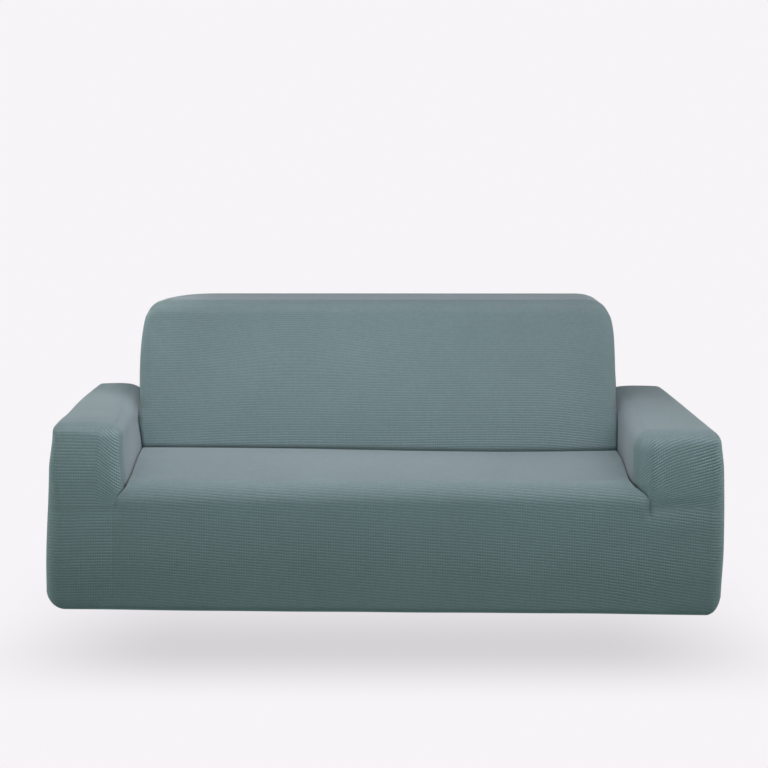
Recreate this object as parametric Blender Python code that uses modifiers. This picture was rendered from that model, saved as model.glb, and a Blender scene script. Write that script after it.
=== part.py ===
# Fitted stretch cover for a two-seat sofa, as five sewn panels, with the sofa left out.
# Metres, +Z up. +X is the sitter's left-to-right as seen from the front, +Y runs to the rear.
# The origin is the centre of the hem's footprint, with z = 0 at the lowest point of the hem.
# Every panel is an open surface shaped from a cage, then given its cloth thickness.
import math

import bmesh
import bpy
import numpy as np
from mathutils import Vector

# ---------------------------------------------------------------- named sizes
CLOTH = 0.003            # knit thickness
SEAM_GAP = 0.0010        # between two panels that meet edge to edge
HALF_W = 0.855           # half of the width over the arms
Y_FRONT, Y_REAR = -0.430, 0.430
SEAT_Z = 0.332           # seat surface above the hem
SEAT_R = 0.052           # rounding of the seat's front edge
SEAT_DEPTH = 0.500       # front plane to backrest, at the seat
SEAT_CROWN = 0.006
TUCK = 0.022             # how far the cloth is pushed down into the crevices
TUCK_R = 0.007           # rounding where it turns down
TUCK_GAP = 0.0022        # between the two layers in a crevice
NOTCH_Z = 0.278          # where the arm and the seat become one front plane
HEM_R = {"left": 0.039, "right": 0.029}   # rounding of the bottom edge at either end
HEM_FLAP = 0.030         # hem turned under, past the rounding's strip
BACK_TOP = 0.731
BACK_LEAN = 0.100        # how far the backrest's front top lies behind its foot
BACK_EDGE_R = 0.048      # rounding of the backrest's front edge
BACK_CROWN = 0.010
REAR_R = 0.036           # rounding of the rear edges
RIM = 0.030              # cloth that wraps onto the rear face past the rounding
RIM_Z = 0.380            # lower end of the rims and walls beside the backrest
ZONE = 0.040             # width of a rounded edge's strip in a cage

# One row for each side. Lengths are measured outward from the middle of the sofa.
# inner_f/inner_b: inner face at the front and at the backrest; flare_f/flare_b: how much
# nearer the middle it is at seat level; start: where its front rounding begins, high up;
# seam: where arm and apron meet on the front; top: arm height at the front; drop: how much
# lower it is at the rear; top_r: outer top rounding.
ARM_COLUMNS = ("side", "inner_f", "inner_b", "flare_f", "flare_b", "start", "seam", "top", "drop", "top_r")
ARM_ROWS = (
    ("left", 0.672, 0.687, 0.016, 0.009, 0.716, 0.682, 0.470, 0.013, 0.028),
    ("right", 0.623, 0.664, 0.002, 0.003, 0.663, 0.661, 0.458, 0.006, 0.041),
)
ARMS = {row[0]: dict(zip(ARM_COLUMNS, row)) for row in ARM_ROWS}
SIGN = {"left": -1.0, "right": 1.0}

# Backrest top corners: width and height of the rounded corner.
BACK_CORNER = {"left": (0.095, 0.092), "right": (0.078, 0.086)}

COLOURS = {
    "seat_front": (0.205, 0.262, 0.268),
    "arm_left": (0.190, 0.248, 0.254),
    "arm_right": (0.190, 0.248, 0.254),
    "inside_back": (0.180, 0.236, 0.246),
    "outside_back": (0.165, 0.220, 0.228),
}


# ---------------------------------------------------------------- shape rules
def clamp01(t):
    return np.clip(t, 0.0, 1.0)


def smooth(t):
    t = clamp01(t)
    return t * t * (3.0 - 2.0 * t)


def mix(a, b, t):
    return a + (b - a) * t


def back_front_y(z):
    """The backrest's front plane, leaning back with height."""
    return Y_FRONT + SEAT_DEPTH + BACK_LEAN * clamp01((z - SEAT_Z) / (BACK_TOP - SEAT_Z)) ** 1.15


def arm_inner(side, y, z):
    """The arm's inner face, outward from the middle, before its front edge is rounded."""
    a = ARMS[side]
    along = smooth((y - Y_FRONT) / SEAT_DEPTH)
    face = mix(a["inner_f"], a["inner_b"], along)
    flare = mix(a["flare_f"], a["flare_b"], along) * (1.0 - smooth((z - SEAT_Z + 0.01) / 0.10))
    open_notch = smooth((z - NOTCH_Z) / 0.040)
    near_front = 1.0 - smooth((y - Y_FRONT - 0.08) / 0.10)
    return mix(face - flare, a["seam"], (1.0 - open_notch) * near_front)


def arm_front_start(side, z):
    """Where the flat of the arm's front ends and its rounding to the inner face starts."""
    a = ARMS[side]
    return mix(a["seam"], a["start"], smooth((z - NOTCH_Z - 0.03) / 0.08))


def arm_front_radius(side, z):
    """Depth of that rounding, which fades out at the notch."""
    return 0.046 * smooth((z - NOTCH_Z) / 0.040) + 1e-5


def arm_outline(side, y, z):
    """The arm's inner outline in plan at height z, with its rounded front edge."""
    inner = arm_inner(side, y, z)
    deep = arm_front_radius(side, z)
    wide = arm_front_start(side, z) - arm_inner(side, Y_FRONT + 0 * y, z)
    t = clamp01((Y_FRONT + deep - y) / deep)
    return inner + wide * (1.0 - np.sqrt(np.maximum(0.0, 1.0 - t * t)))


def hem_radius(x):
    """The bottom edge is rounder at the left end than at the right."""
    return mix(HEM_R["left"], HEM_R["right"], smooth(0.5 + 0.5 * x / HALF_W))


def hem_slope(p):
    """The hem hangs a little lower to the right, and lifts at the far left corner."""
    x, y, z = p[:, 0], p[:, 1], p[:, 2]
    low = 1.0 - smooth(z / 0.16)
    p[:, 2] = z - low * (0.0080 * x / HALF_W + 0.0010 * np.cos(5.2 * x + 0.6))
    return p


def uneven(p):
    """The slack and pull of the cloth that all panels share, so that their seams still meet."""
    p = hem_slope(p.copy())
    x, y, z = p[:, 0].copy(), p[:, 1].copy(), p[:, 2].copy()
    left, right = smooth((-x - 0.60) / 0.22), smooth((x - 0.60) / 0.22)
    lean = 0.012 * (1.0 - 0.85 * smooth((y - Y_FRONT) / 0.55))
    p[:, 0] += left * (lean * smooth((z - 0.10) / 0.30) - 0.0015 * np.sin(7.0 * y + 1.0))
    p[:, 0] -= right * (0.005 * smooth((z - 0.24) / 0.22) + 0.009 * (1.0 - smooth(z / 0.22)) + 0.0015 * np.sin(6.0 * y))
    front = 1.0 - smooth((y - Y_FRONT) / 0.10)
    p[:, 1] += front * (0.0025 * np.sin(3.1 * x + 0.4) * np.sin(9.0 * z + 0.5) - 0.003 * (1.0 - (x / HALF_W) ** 2))
    rear = smooth((y - 0.30) / 0.12)
    p[:, 1] += rear * 0.0020 * np.sin(4.0 * x) * np.sin(7.0 * z)
    return p


# ---------------------------------------------------------------- cage tools
def edge_lines(lo, hi, lo_zone, hi_zone, between, per_edge=2):
    """Cut positions along one side of a box cage: strips in the rounded edges, then 'between' evenly spread."""
    lines = []
    for k in range(per_edge):
        lines.append(math.tan(math.radians(45.0 * (k + 0) / per_edge)))
    out = []
    if lo_zone:
        out += [lo + ZONE * (1.0 - t) for t in lines]
    if hi_zone:
        out += [hi - ZONE * (1.0 - t) for t in lines]
    out += list(between)
    return sorted(set(round(v, 6) for v in out if lo + 1e-6 < v < hi - 1e-6))


def box_cage(lo, hi, cuts):
    """A cube primitive stretched over lo..hi and cut along the given planes."""
    bm = bmesh.new()
    bmesh.ops.create_cube(bm, size=1.0)
    for v in bm.verts:
        for k in range(3):
            v.co[k] = lo[k] if v.co[k] < 0 else hi[k]
    for k in range(3):
        normal = [0.0, 0.0, 0.0]
        normal[k] = 1.0
        for value in cuts[k]:
            centre = [0.0, 0.0, 0.0]
            centre[k] = value
            bmesh.ops.bisect_plane(bm, geom=bm.verts[:] + bm.edges[:] + bm.faces[:], dist=1e-7,
                                   plane_co=centre, plane_no=normal)
    return bm


def drop_faces(bm, unwanted):
    """Deletes the faces whose centre the rule picks, and what they leave loose."""
    faces = [f for f in bm.faces if unwanted(f.calc_center_median())]
    bmesh.ops.delete(bm, geom=faces, context="FACES")
    loose = [v for v in bm.verts if not v.link_faces]
    bmesh.ops.delete(bm, geom=loose, context="VERTS")


def read(bm):
    return np.array([v.co[:] for v in bm.verts], dtype=float).reshape(-1, 3)


def write(bm, p):
    for v, q in zip(bm.verts, p):
        v.co = q


def zone(value, lo, hi):
    """-1..1 across the rounded strips of a cage: -1 at lo, 0 in the flat between, 1 at hi."""
    return np.clip((value - (hi - ZONE)) / ZONE, 0, 1) - np.clip(((lo + ZONE) - value) / ZONE, 0, 1)


def flat_part(value, lo, hi):
    return clamp01((value - lo - ZONE) / (hi - lo - 2 * ZONE))


def round_corners(core, radius, n):
    """Moves cage points onto the rounded box: core point plus radius along the unit direction."""
    length = np.sqrt((n ** 2).sum(axis=1, keepdims=True))
    return core + radius * n / np.maximum(length, 1e-9)


def finish(name, bm, collection, inside):
    """Makes the object: one open sheet in, one closed cloth panel out. 'inside' is a point that it faces away from."""
    bmesh.ops.remove_doubles(bm, verts=bm.verts[:], dist=2e-5)
    bmesh.ops.dissolve_degenerate(bm, edges=bm.edges[:], dist=1e-5)
    bmesh.ops.recalc_face_normals(bm, faces=bm.faces[:])
    outward = sum(f.calc_area() * f.normal.dot(f.calc_center_median() - Vector(inside)) for f in bm.faces)
    if outward < 0:
        bmesh.ops.reverse_faces(bm, faces=bm.faces[:])
    mesh = bpy.data.meshes.new(name)
    bm.to_mesh(mesh)
    bm.free()
    obj = bpy.data.objects.new(name, mesh)
    collection.objects.link(obj)
    mesh.shade_smooth()
    solid = obj.modifiers.new("cloth", "SOLIDIFY")
    solid.thickness = CLOTH
    solid.offset = -1.0
    solid.use_even_offset = True
    solid.use_quality_normals = True
    material = bpy.data.materials.new(name + "_knit")
    material.use_nodes = True
    shader = next(n for n in material.node_tree.nodes if n.type == "BSDF_PRINCIPLED")
    shader.inputs["Base Color"].default_value = (*COLOURS[name], 1.0)
    shader.inputs["Roughness"].default_value = 0.95
    shader.inputs["Metallic"].default_value = 0.0
    mesh.materials.append(material)
    return obj


# ---------------------------------------------------------------- arm covers
def arm_panel(side, collection):
    """Inner side, top, front and outer side of one arm, wrapped onto the rear face and under the base."""
    a, s = ARMS[side], SIGN[side]
    inner0 = 0.640
    lo, hi = (inner0, Y_FRONT, 0.0), (HALF_W, Y_REAR, 0.460)
    rim_x = HALF_W - ZONE - RIM
    flap_x, flap_y = hi[0] - ZONE - HEM_FLAP, lo[1] + ZONE + HEM_FLAP
    wall_y = Y_FRONT + SEAT_DEPTH + 0.06
    cuts = (
        edge_lines(lo[0], hi[0], True, True, [0.730, rim_x, flap_x]),
        edge_lines(lo[1], hi[1], True, True, [flap_y, -0.25, -0.12, 0.01, wall_y, 0.25, Y_REAR - ZONE - RIM]),
        edge_lines(lo[2], hi[2], True, True, [0.10, 0.19, NOTCH_Z, NOTCH_Z + 0.014,
                                              NOTCH_Z + 0.023, SEAT_Z - TUCK, NOTCH_Z + 0.042, SEAT_Z,
                                              SEAT_Z + 0.018, RIM_Z, RIM_Z + 0.012]),
    )
    bm = box_cage(lo, hi, cuts)

    def unwanted(c):
        if c.x < lo[0] + 1e-4:
            return c.z < (SEAT_Z - TUCK if c.y < wall_y else RIM_Z)
        if c.y > hi[1] - 1e-4:
            return c.x < rim_x and c.z < RIM_Z
        if c.z < 1e-4:
            return c.x < flap_x and c.y > flap_y
        return False

    drop_faces(bm, unwanted)
    c = read(bm)
    n = np.stack([zone(c[:, k], lo[k], hi[k]) for k in range(3)], axis=1)
    # below the notch the inner columns close up on the front seam
    closed = (c[:, 0] < inner0 + ZONE + 1e-4) & (c[:, 2] < NOTCH_Z + 1e-3) & (c[:, 1] < 0)
    n[closed, 0] = 0.0
    z = np.where(n[:, 2] > 0, hi[2] - 0.02, np.where(n[:, 2] < 0, 0.0, c[:, 2]))
    hem_r = hem_radius(s * np.where(closed, a["seam"], c[:, 0]))
    inner_half = smooth((0.765 - c[:, 0]) / 0.07)
    top_zone = smooth((z - hi[2] + 0.10) / 0.06)
    rear_fade = smooth((z - RIM_Z - 0.012) / 0.060) + 1e-4
    front_r = mix(0.040, arm_front_radius(side, z), inner_half)
    rear_r = mix(REAR_R, REAR_R * rear_fade, inner_half)
    r_y = np.where(n[:, 2] < 0, hem_r, np.where(n[:, 1] < 0, front_r, rear_r))
    y_core = np.where(n[:, 1] < 0, Y_FRONT + r_y, np.where(n[:, 1] > 0, Y_REAR - r_y, c[:, 1]))
    inner = arm_inner(side, y_core, z)
    wide = np.maximum(arm_front_start(side, z) - arm_inner(side, Y_FRONT + 0 * z, z), 1e-5)
    by_rear = smooth((c[:, 1] + 0.20) / 0.30)
    r_in = mix(mix(wide, REAR_R * rear_fade, by_rear), 0.048, top_zone * smooth((c[:, 1] - Y_FRONT - 0.02) / 0.12))
    r_out = mix(hem_r, a["top_r"], smooth((z - 0.25) / 0.15))
    r_x = np.where(n[:, 0] < 0, r_in, r_out)
    r_z = np.where(n[:, 2] > 0, mix(a["top_r"], 0.046, inner_half), hem_r)
    pull = clamp01((0.775 - c[:, 0]) / (0.775 - inner0 - ZONE))
    flat_x = c[:, 0] + pull * (inner + r_in - inner0 - ZONE)
    flat_x = np.where(closed, a["seam"] + 0.5 * SEAM_GAP, flat_x)
    top = a["top"] - a["drop"] * clamp01((y_core - Y_FRONT - 0.05) / (Y_REAR - Y_FRONT - 0.1))
    rise = clamp01((c[:, 2] - RIM_Z) / (hi[2] - ZONE - RIM_Z)) * (top - hi[2])
    core = np.stack([
        np.where(n[:, 0] < 0, inner + r_in, np.where(n[:, 0] > 0, HALF_W - r_x, flat_x)),
        y_core,
        np.where(n[:, 2] > 0, top - r_z, np.where(n[:, 2] < 0, r_z, c[:, 2] + rise)),
    ], axis=1)
    p = round_corners(core, np.stack([r_x, r_y, r_z], axis=1), n)
    # a soft crown along the top
    across = np.sin(np.pi * clamp01((c[:, 0] - lo[0]) / (hi[0] - lo[0])))
    p[:, 2] += 0.004 * across * (n[:, 2] > 0.99) * (1.0 - np.abs(n[:, 1]))
    p[:, 0] *= s
    write(bm, uneven(p))
    return finish("arm_" + side, bm, collection, (s * 0.77, 0.0, 0.2))


# ---------------------------------------------------------------- seat and front
def seat_side(side, y, z):
    return arm_outline(side, y, z) - TUCK_GAP


def seat_rear_y(x):
    """The seat's rear edge: the backrest's front, with its rounded vertical edges."""
    y = Y_FRONT + SEAT_DEPTH + BACK_EDGE_R
    left = 1.0 - (arm_inner("left", y, SEAT_Z) - TUCK_GAP + x) / BACK_EDGE_R
    right = 1.0 - (arm_inner("right", y, SEAT_Z) - TUCK_GAP - x) / BACK_EDGE_R
    t = np.clip(np.maximum(left, right), 0.0, 0.94)
    return Y_FRONT + SEAT_DEPTH - TUCK_GAP + BACK_EDGE_R * (1.0 - np.sqrt(1.0 - t * t))


def seat_height(x, y):
    """Seat surface: a low crown, and a dip towards the back, deepest right of the middle."""
    back = smooth((y - Y_FRONT - 0.06) / (SEAT_DEPTH - 0.06))
    dip = 0.013 * back * np.exp(-((x - 0.35) / 0.55) ** 2)
    crown = SEAT_CROWN * (1.0 - (x / 0.69) ** 2) * np.sin(np.pi * clamp01((y - Y_FRONT) / SEAT_DEPTH))
    return SEAT_Z + crown - dip


def seat_columns():
    """Places across the seat as fractions of its width: close together at the ends, even between."""
    ends = [0.0, 0.008, 0.016, 0.024, 0.036]
    middle = [mix(0.085, 0.915, k / 11) for k in range(12)]
    return ends + middle + [1.0 - v for v in reversed(ends)]


def seat_panel(collection):
    """Seat, rounded front edge, apron and hem in one length, with its edges pushed into the crevices."""
    # the turned-down edge: distance still to go outward, depth. It ends where the front begins.
    turn = [(TUCK_R, 0.0), (0.293 * TUCK_R, 0.293 * TUCK_R), (0.0, TUCK_R), (0.0, TUCK)]
    columns = seat_columns()
    rows = [("rear", k) for k in (3, 2, 1, 0)]
    rows += [("seat", t) for t in (0.05, 0.12, 0.32, 0.54, 0.76, 0.94)]
    rows += [("edge", math.radians(v)) for v in (0, 20, 40, 60, 75, 90)]
    rows += [("front", t) for t in (0.15, 0.4, 0.7)]
    rows += [("hem", math.radians(v)) for v in (0, 30, 60, 90)]
    rows += [("flap", 1.0)]
    tuck_end = next(k for k, r in enumerate(rows) if r[0] == "edge" and r[1] > 1.2)
    last = len(columns) - 1
    n_u = last + 6
    n_v = len(rows) - 1
    bm = bmesh.new()
    bmesh.ops.create_grid(bm, x_segments=n_u, y_segments=n_v, size=0.5)
    p = read(bm)
    col = np.rint((p[:, 0] + 0.5) * n_u).astype(int)
    row = np.rint((p[:, 1] + 0.5) * n_v).astype(int)
    out = np.zeros_like(p)
    top_edge = Y_FRONT + SEAT_R
    ended = [f for f in bm.faces
             if abs(f.calc_center_median().x) > 0.5 - 1.0 / n_u and (f.calc_center_median().y + 0.5) * n_v > tuck_end]

    def side_at(name, y, z):
        return float(seat_side(name, np.array([y]), np.array([z]))[0])

    def rear_at(x):
        return float(seat_rear_y(np.array([x]))[0])

    for i in range(len(p)):
        kind, t = rows[row[i]]
        inner_col = min(max(col[i] - 3, 0), last)
        off = 3 - col[i] if col[i] < 3 else max(0, col[i] - (n_u - 3))
        side = "left" if col[i] < n_u // 2 else "right"
        # the profile of this row: a point, the inward direction, and how far its side edges turn down
        y, z, back, down, tuck = Y_FRONT, SEAT_Z, 0.0, -1.0, 0.0
        if kind == "seat":
            tuck = smooth((t - 0.05) / 0.07)
        elif kind == "edge":
            y, z = Y_FRONT + SEAT_R * (1 - math.sin(t)), SEAT_Z - SEAT_R * (1 - math.cos(t))
            back, down = math.sin(t), -math.cos(t)
            tuck = mix(1.0, 0.5, clamp01((math.degrees(t) - 20.0) / 55.0)) * (t < 1.5)
        elif kind in ("front", "hem", "flap"):
            back, down = 1.0, 0.0
        on_seam = kind in ("front", "hem", "flap") or (kind == "edge" and t > 1.5)
        ends = {}
        for name in ("left", "right"):
            at = y
            if kind in ("rear", "seat"):
                far = Y_FRONT + SEAT_DEPTH + 0.6 * BACK_EDGE_R
                at = far if kind == "rear" else mix(far, top_edge, t)
            ends[name] = (ARMS[name]["seam"] - 0.8 * SEAM_GAP if on_seam else side_at(name, at, z)) - TUCK_R
        x = mix(-ends["left"], ends["right"], columns[inner_col])
        if kind in ("rear", "seat"):
            corner = smooth(min(inner_col, last - inner_col) - 0.0)
            k = int(t) if kind == "rear" else 0
            start = rear_at(x) - TUCK_R
            if kind == "rear":
                y = start + TUCK_R - turn[k][0]
            else:
                y = mix(start, top_edge, t)
            z = float(seat_height(np.array([x]), np.array([min(y, Y_FRONT + SEAT_DEPTH)]))[0])
            if kind == "rear":
                z -= corner * turn[k][1]
        hem_r = float(hem_radius(np.array(x)))
        if off:
            y, z = y + back * tuck * turn[off][1], z + down * tuck * turn[off][1]
            x = SIGN[side] * ((ARMS[side]["seam"] - 0.8 * SEAM_GAP if on_seam else side_at(side, y, z)) - turn[off][0])
            hem_r = float(hem_radius(np.array(x)))
        if kind == "front":
            z = mix(SEAT_Z - SEAT_R, hem_r, t)
        elif kind == "hem":
            y, z = Y_FRONT + hem_r * (1 - math.cos(t)), hem_r * (1 - math.sin(t))
        elif kind == "flap":
            y, z = Y_FRONT + mix(hem_r, ZONE + HEM_FLAP, t), 0.0
        out[i] = (x, y, z)
    write(bm, uneven(out))
    bmesh.ops.delete(bm, geom=ended, context="FACES")
    bmesh.ops.delete(bm, geom=[v for v in bm.verts if not v.link_faces], context="VERTS")
    return finish("seat_front", bm, collection, (0.0, 0.1, 0.15))


# ---------------------------------------------------------------- backrest, inside
def round_outline(p, k):
    """Rounds the backrest's two top corners, seen from the front."""
    x, z = p[:, 0].copy(), p[:, 2].copy()
    for side, (w, h) in BACK_CORNER.items():
        s = SIGN[side]
        edge = ARMS[side]["inner_b"]
        i = clamp01((s * x - (edge - w)) / w)
        j = clamp01((z - (BACK_TOP - h)) / h)
        p[:, 0] += s * w * (i * np.sqrt(1 - k * j * j / 2) - i)
        p[:, 2] += h * (j * np.sqrt(1 - k * i * i / 2) - j)
    return p


def inside_back_panel(collection):
    """Front, top and sides of the backrest, wrapped onto its rear face."""
    left, right = ARMS["left"]["inner_b"], ARMS["right"]["inner_b"]
    lo = (-left, Y_FRONT + SEAT_DEPTH, SEAT_Z - TUCK)
    hi = (right, Y_REAR, BACK_TOP)
    rim = ZONE + RIM
    wall_y = Y_FRONT + SEAT_DEPTH + 0.06
    cuts = (
        edge_lines(lo[0], hi[0], True, True, [lo[0] + rim, hi[0] - rim] + [lo[0] + rim + (hi[0] - lo[0] - 2 * rim) * k / 8 for k in range(1, 8)]),
        edge_lines(lo[1], hi[1], True, True, [wall_y, 0.24, 0.33]),
        edge_lines(lo[2], hi[2], False, True, [SEAT_Z + 0.02, RIM_Z, RIM_Z + 0.012, 0.42, 0.47, 0.54, 0.60, BACK_TOP - rim]),
    )
    bm = box_cage(lo, hi, cuts)

    def unwanted(c):
        if c.y > hi[1] - 1e-4:
            return c.z < RIM_Z or (lo[0] + rim < c.x < hi[0] - rim and c.z < hi[2] - rim)
        if c.x < lo[0] + 1e-4 or c.x > hi[0] - 1e-4:
            return c.y > wall_y and c.z < RIM_Z
        return c.z < lo[2] + 1e-4

    drop_faces(bm, unwanted)
    c = read(bm)
    n = np.stack([zone(c[:, 0], lo[0], hi[0]), zone(c[:, 1], lo[1], hi[1]),
                  np.maximum(0.0, zone(c[:, 2], lo[2] - 1.0, hi[2]))], axis=1)
    z = c[:, 2]
    rear_fade = smooth((z - RIM_Z - 0.012) / 0.060) + 1e-4
    rear_r = np.where(np.abs(n[:, 0]) > 0, REAR_R * rear_fade, REAR_R)
    r_y = np.where(n[:, 1] < 0, BACK_EDGE_R, rear_r)
    r_x = np.where(n[:, 1] > 0, REAR_R * rear_fade, BACK_EDGE_R)
    r_z = mix(BACK_EDGE_R, REAR_R, smooth((c[:, 1] - 0.15) / 0.20))
    top_front = back_front_y(z)
    y_flat = mix(top_front + BACK_EDGE_R, Y_REAR - rear_r, flat_part(c[:, 1], lo[1], hi[1]))
    y_core = np.where(n[:, 1] < 0, top_front + r_y, np.where(n[:, 1] > 0, Y_REAR - r_y, y_flat))
    # below the arm tops the sides follow the arms' inner walls
    out_l = arm_inner("left", y_core, z) - TUCK_GAP
    out_r = arm_inner("right", y_core, z) - TUCK_GAP
    mid = (c[:, 0] - lo[0] - ZONE) / (hi[0] - lo[0] - 2 * ZONE)
    x_core = np.where(n[:, 0] < 0, -out_l + r_x, np.where(n[:, 0] > 0, out_r - r_x, c[:, 0]))
    core = np.stack([x_core, y_core, np.where(n[:, 2] > 0, BACK_TOP - r_z, z)], axis=1)
    p = round_corners(core, np.stack([r_x, r_y, r_z], axis=1), n)
    # a crown over the front, fading at its edges
    up = clamp01((z - SEAT_Z) / (BACK_TOP - SEAT_Z))
    crown = np.sin(np.pi * clamp01(mid)) ** 0.6 * np.sin(np.pi * up) ** 0.8
    p[:, 1] -= BACK_CROWN * crown * (n[:, 1] < -0.99) * (np.abs(n[:, 0]) < 0.01)
    p = round_outline(p, 0.85)
    write(bm, uneven(p))
    return finish("inside_back", bm, collection, (0.0, 0.3, 0.5))


# ---------------------------------------------------------------- backrest and base, outside
def outside_back_panel(collection):
    """The flat rear of the sofa in one piece: base and arms below, backrest above, hem turned under."""
    rim = ZONE + RIM
    gap = SEAM_GAP
    low_x = HALF_W - rim - gap
    left, right = ARMS["left"]["inner_b"] - rim - gap, ARMS["right"]["inner_b"] - rim - gap
    xs = sorted({-low_x, low_x, -left, right} | {round(-0.52 + 0.13 * k, 3) for k in range(9)})
    rows = [("flap", 1.0), ("flap", 0.5)] + [("hem", math.radians(v)) for v in (90, 75, 50, 25, 0)]
    ledge = RIM_Z - 3.0 * gap
    rows += [("wall", z) for z in (0.10, 0.20, 0.29, ledge, 0.46, 0.56, BACK_TOP - rim - gap)]
    n_u, n_v = len(xs) - 1, len(rows) - 1
    bm = bmesh.new()
    bmesh.ops.create_grid(bm, x_segments=n_u, y_segments=n_v, size=0.5)
    p = read(bm)
    col = np.rint((p[:, 0] + 0.5) * n_u).astype(int)
    row = np.rint((p[:, 1] + 0.5) * n_v).astype(int)
    first_upper = next(i for i, r in enumerate(rows) if r == ("wall", ledge))
    faces = [f for f in bm.faces
             if round((f.calc_center_median().y + 0.5) * n_v - 0.5) >= first_upper
             and not (xs.index(-left) <= round((f.calc_center_median().x + 0.5) * n_u - 0.5) < xs.index(right))]
    out = np.zeros_like(p)
    for i in range(len(p)):
        kind, t = rows[row[i]]
        x = xs[col[i]]
        hem_r = float(hem_radius(np.array(x)))
        if kind == "flap":
            y, z = Y_REAR - mix(hem_r, ZONE + HEM_FLAP, t), 0.0
        elif kind == "hem":
            y, z = Y_REAR - hem_r * (1 - math.cos(t)), hem_r * (1 - math.sin(t))
        else:
            y, z = Y_REAR, t
        out[i] = (x, y, z)
    bulge = np.cos(np.pi * 0.5 * out[:, 0] / low_x) * np.sin(np.pi * clamp01(out[:, 2] / (BACK_TOP - rim)))
    inside = (np.abs(out[:, 0]) < 0.6) & (out[:, 2] < BACK_TOP - rim - 0.01) & (out[:, 2] > 0.05)
    out[:, 1] += 0.004 * bulge * inside
    write(bm, uneven(out))
    bmesh.ops.delete(bm, geom=faces, context="FACES")
    loose = [v for v in bm.verts if not v.link_faces]
    bmesh.ops.delete(bm, geom=loose, context="VERTS")
    return finish("outside_back", bm, collection, (0.0, 0.2, 0.3))


# ---------------------------------------------------------------- assembly
def clear_scene():
    for obj in list(bpy.data.objects):
        bpy.data.objects.remove(obj, do_unlink=True)


def centre_on_footprint(objects):
    """Puts the origin at the middle of the box and z = 0 at the lowest point of the hem."""
    bpy.context.view_layer.update()
    graph = bpy.context.evaluated_depsgraph_get()
    points = []
    for obj in objects:
        mesh = obj.evaluated_get(graph).to_mesh()
        points += [v.co[:] for v in mesh.vertices]
        obj.evaluated_get(graph).to_mesh_clear()
    points = np.array(points)
    low, high = points.min(axis=0), points.max(axis=0)
    shift = np.array([-(low[0] + high[0]) / 2, -(low[1] + high[1]) / 2, -low[2]])
    for obj in objects:
        for v in obj.data.vertices:
            v.co = np.array(v.co[:]) + shift
    return shift


def main():
    clear_scene()
    collection = bpy.data.collections.new("sofa_slipcover")
    bpy.context.scene.collection.children.link(collection)
    panels = [
        seat_panel(collection),
        arm_panel("left", collection),
        arm_panel("right", collection),
        inside_back_panel(collection),
        outside_back_panel(collection),
    ]
    shift = centre_on_footprint(panels)
    print("shift", [round(float(v), 5) for v in shift])


main()
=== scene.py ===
import math

import bmesh
import bpy
import numpy as np
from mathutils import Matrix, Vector


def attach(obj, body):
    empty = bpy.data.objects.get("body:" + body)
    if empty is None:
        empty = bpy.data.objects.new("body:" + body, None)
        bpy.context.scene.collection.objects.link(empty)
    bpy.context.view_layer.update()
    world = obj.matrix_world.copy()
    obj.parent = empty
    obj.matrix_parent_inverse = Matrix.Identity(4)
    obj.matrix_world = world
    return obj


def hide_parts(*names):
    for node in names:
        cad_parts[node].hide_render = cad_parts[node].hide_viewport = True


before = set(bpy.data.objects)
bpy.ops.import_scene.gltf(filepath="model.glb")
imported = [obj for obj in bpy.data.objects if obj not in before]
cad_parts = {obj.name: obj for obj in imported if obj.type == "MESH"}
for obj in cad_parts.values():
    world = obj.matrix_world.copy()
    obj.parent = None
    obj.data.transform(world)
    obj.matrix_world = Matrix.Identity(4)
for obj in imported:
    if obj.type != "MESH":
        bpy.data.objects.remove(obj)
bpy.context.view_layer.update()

# ---------------------------------------------------------------- named sizes, as in the solids
CLOTH = 0.0022
HALF_W = 0.855
Y_FRONT, Y_REAR = -0.430, 0.430
SEAT_Z, SEAT_R, SEAT_DEPTH, SEAT_CROWN = 0.332, 0.052, 0.500, 0.006
TUCK, TUCK_R, GROOVE = 0.028, 0.008, 0.0036
TUCK_GAP = -0.0006       # where two panels are sewn together in a tuck, one presses into the other
NOTCH_Z = 0.278
NOTCH_RISE = {"left": 0.040, "right": 0.052}
HEM_R = {"left": (0.048, 0.046), "right": (0.040, 0.050)}   # at the arms' outer corners: sideways, upright
HEM_FLAP = 0.030
HEM_FRONT = 0.017        # the hem is drawn tighter under the front and the rear than under the arms
BACK_TOP, BACK_LEAN, BACK_EDGE_R, BACK_CROWN = 0.733, 0.100, 0.048, 0.010
BACK_LOW_R = 0.014       # beside the arms the backrest's upright edges are pressed sharper
REAR_R, RIM, RIM_Z, ZONE = 0.036, 0.030, 0.380, 0.040
SEAM = 0.0            # between two panels that meet edge to edge
SHIFT = np.array([0.00016, -0.00034, 0.00775])   # puts the origin at the hem's footprint, as in the solids
ARM_COLUMNS = ("side", "inner_f", "inner_b", "flare_f", "flare_b", "start", "seam", "top", "drop", "top_r", "roll_f", "roll_b")
ARM_ROWS = (
    ("left", 0.661, 0.687, 0.010, 0.013, 0.695, 0.682, 0.472, 0.012, 0.019, 0.030, 0.076),
    ("right", 0.623, 0.664, 0.002, 0.003, 0.6670, 0.6650, 0.458, 0.006, 0.030, 0.047, 0.060),
)
ARMS = {row[0]: dict(zip(ARM_COLUMNS, row)) for row in ARM_ROWS}
SIGN = {"left": -1.0, "right": 1.0}
BACK_TOP_R = 0.036
BACK_CORNER = {                                              # width, height and squareness, at the front and the rear
    "left": ((0.078, 0.153, 2.76), (0.216, 0.063, 2.56)),
    "right": ((0.087, 0.171, 3.25), (0.113, 0.147, 3.94)),
}
BACK_SIDE = {"left": 0.6848, "right": 0.6618}

ROW_PITCH, COLUMN_PITCH = 0.0076, 0.0062   # of the raised check
STEP = 0.0075   # mesh size on the flats
ARC_STEPS = 7       # on each half of a rounded edge


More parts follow.
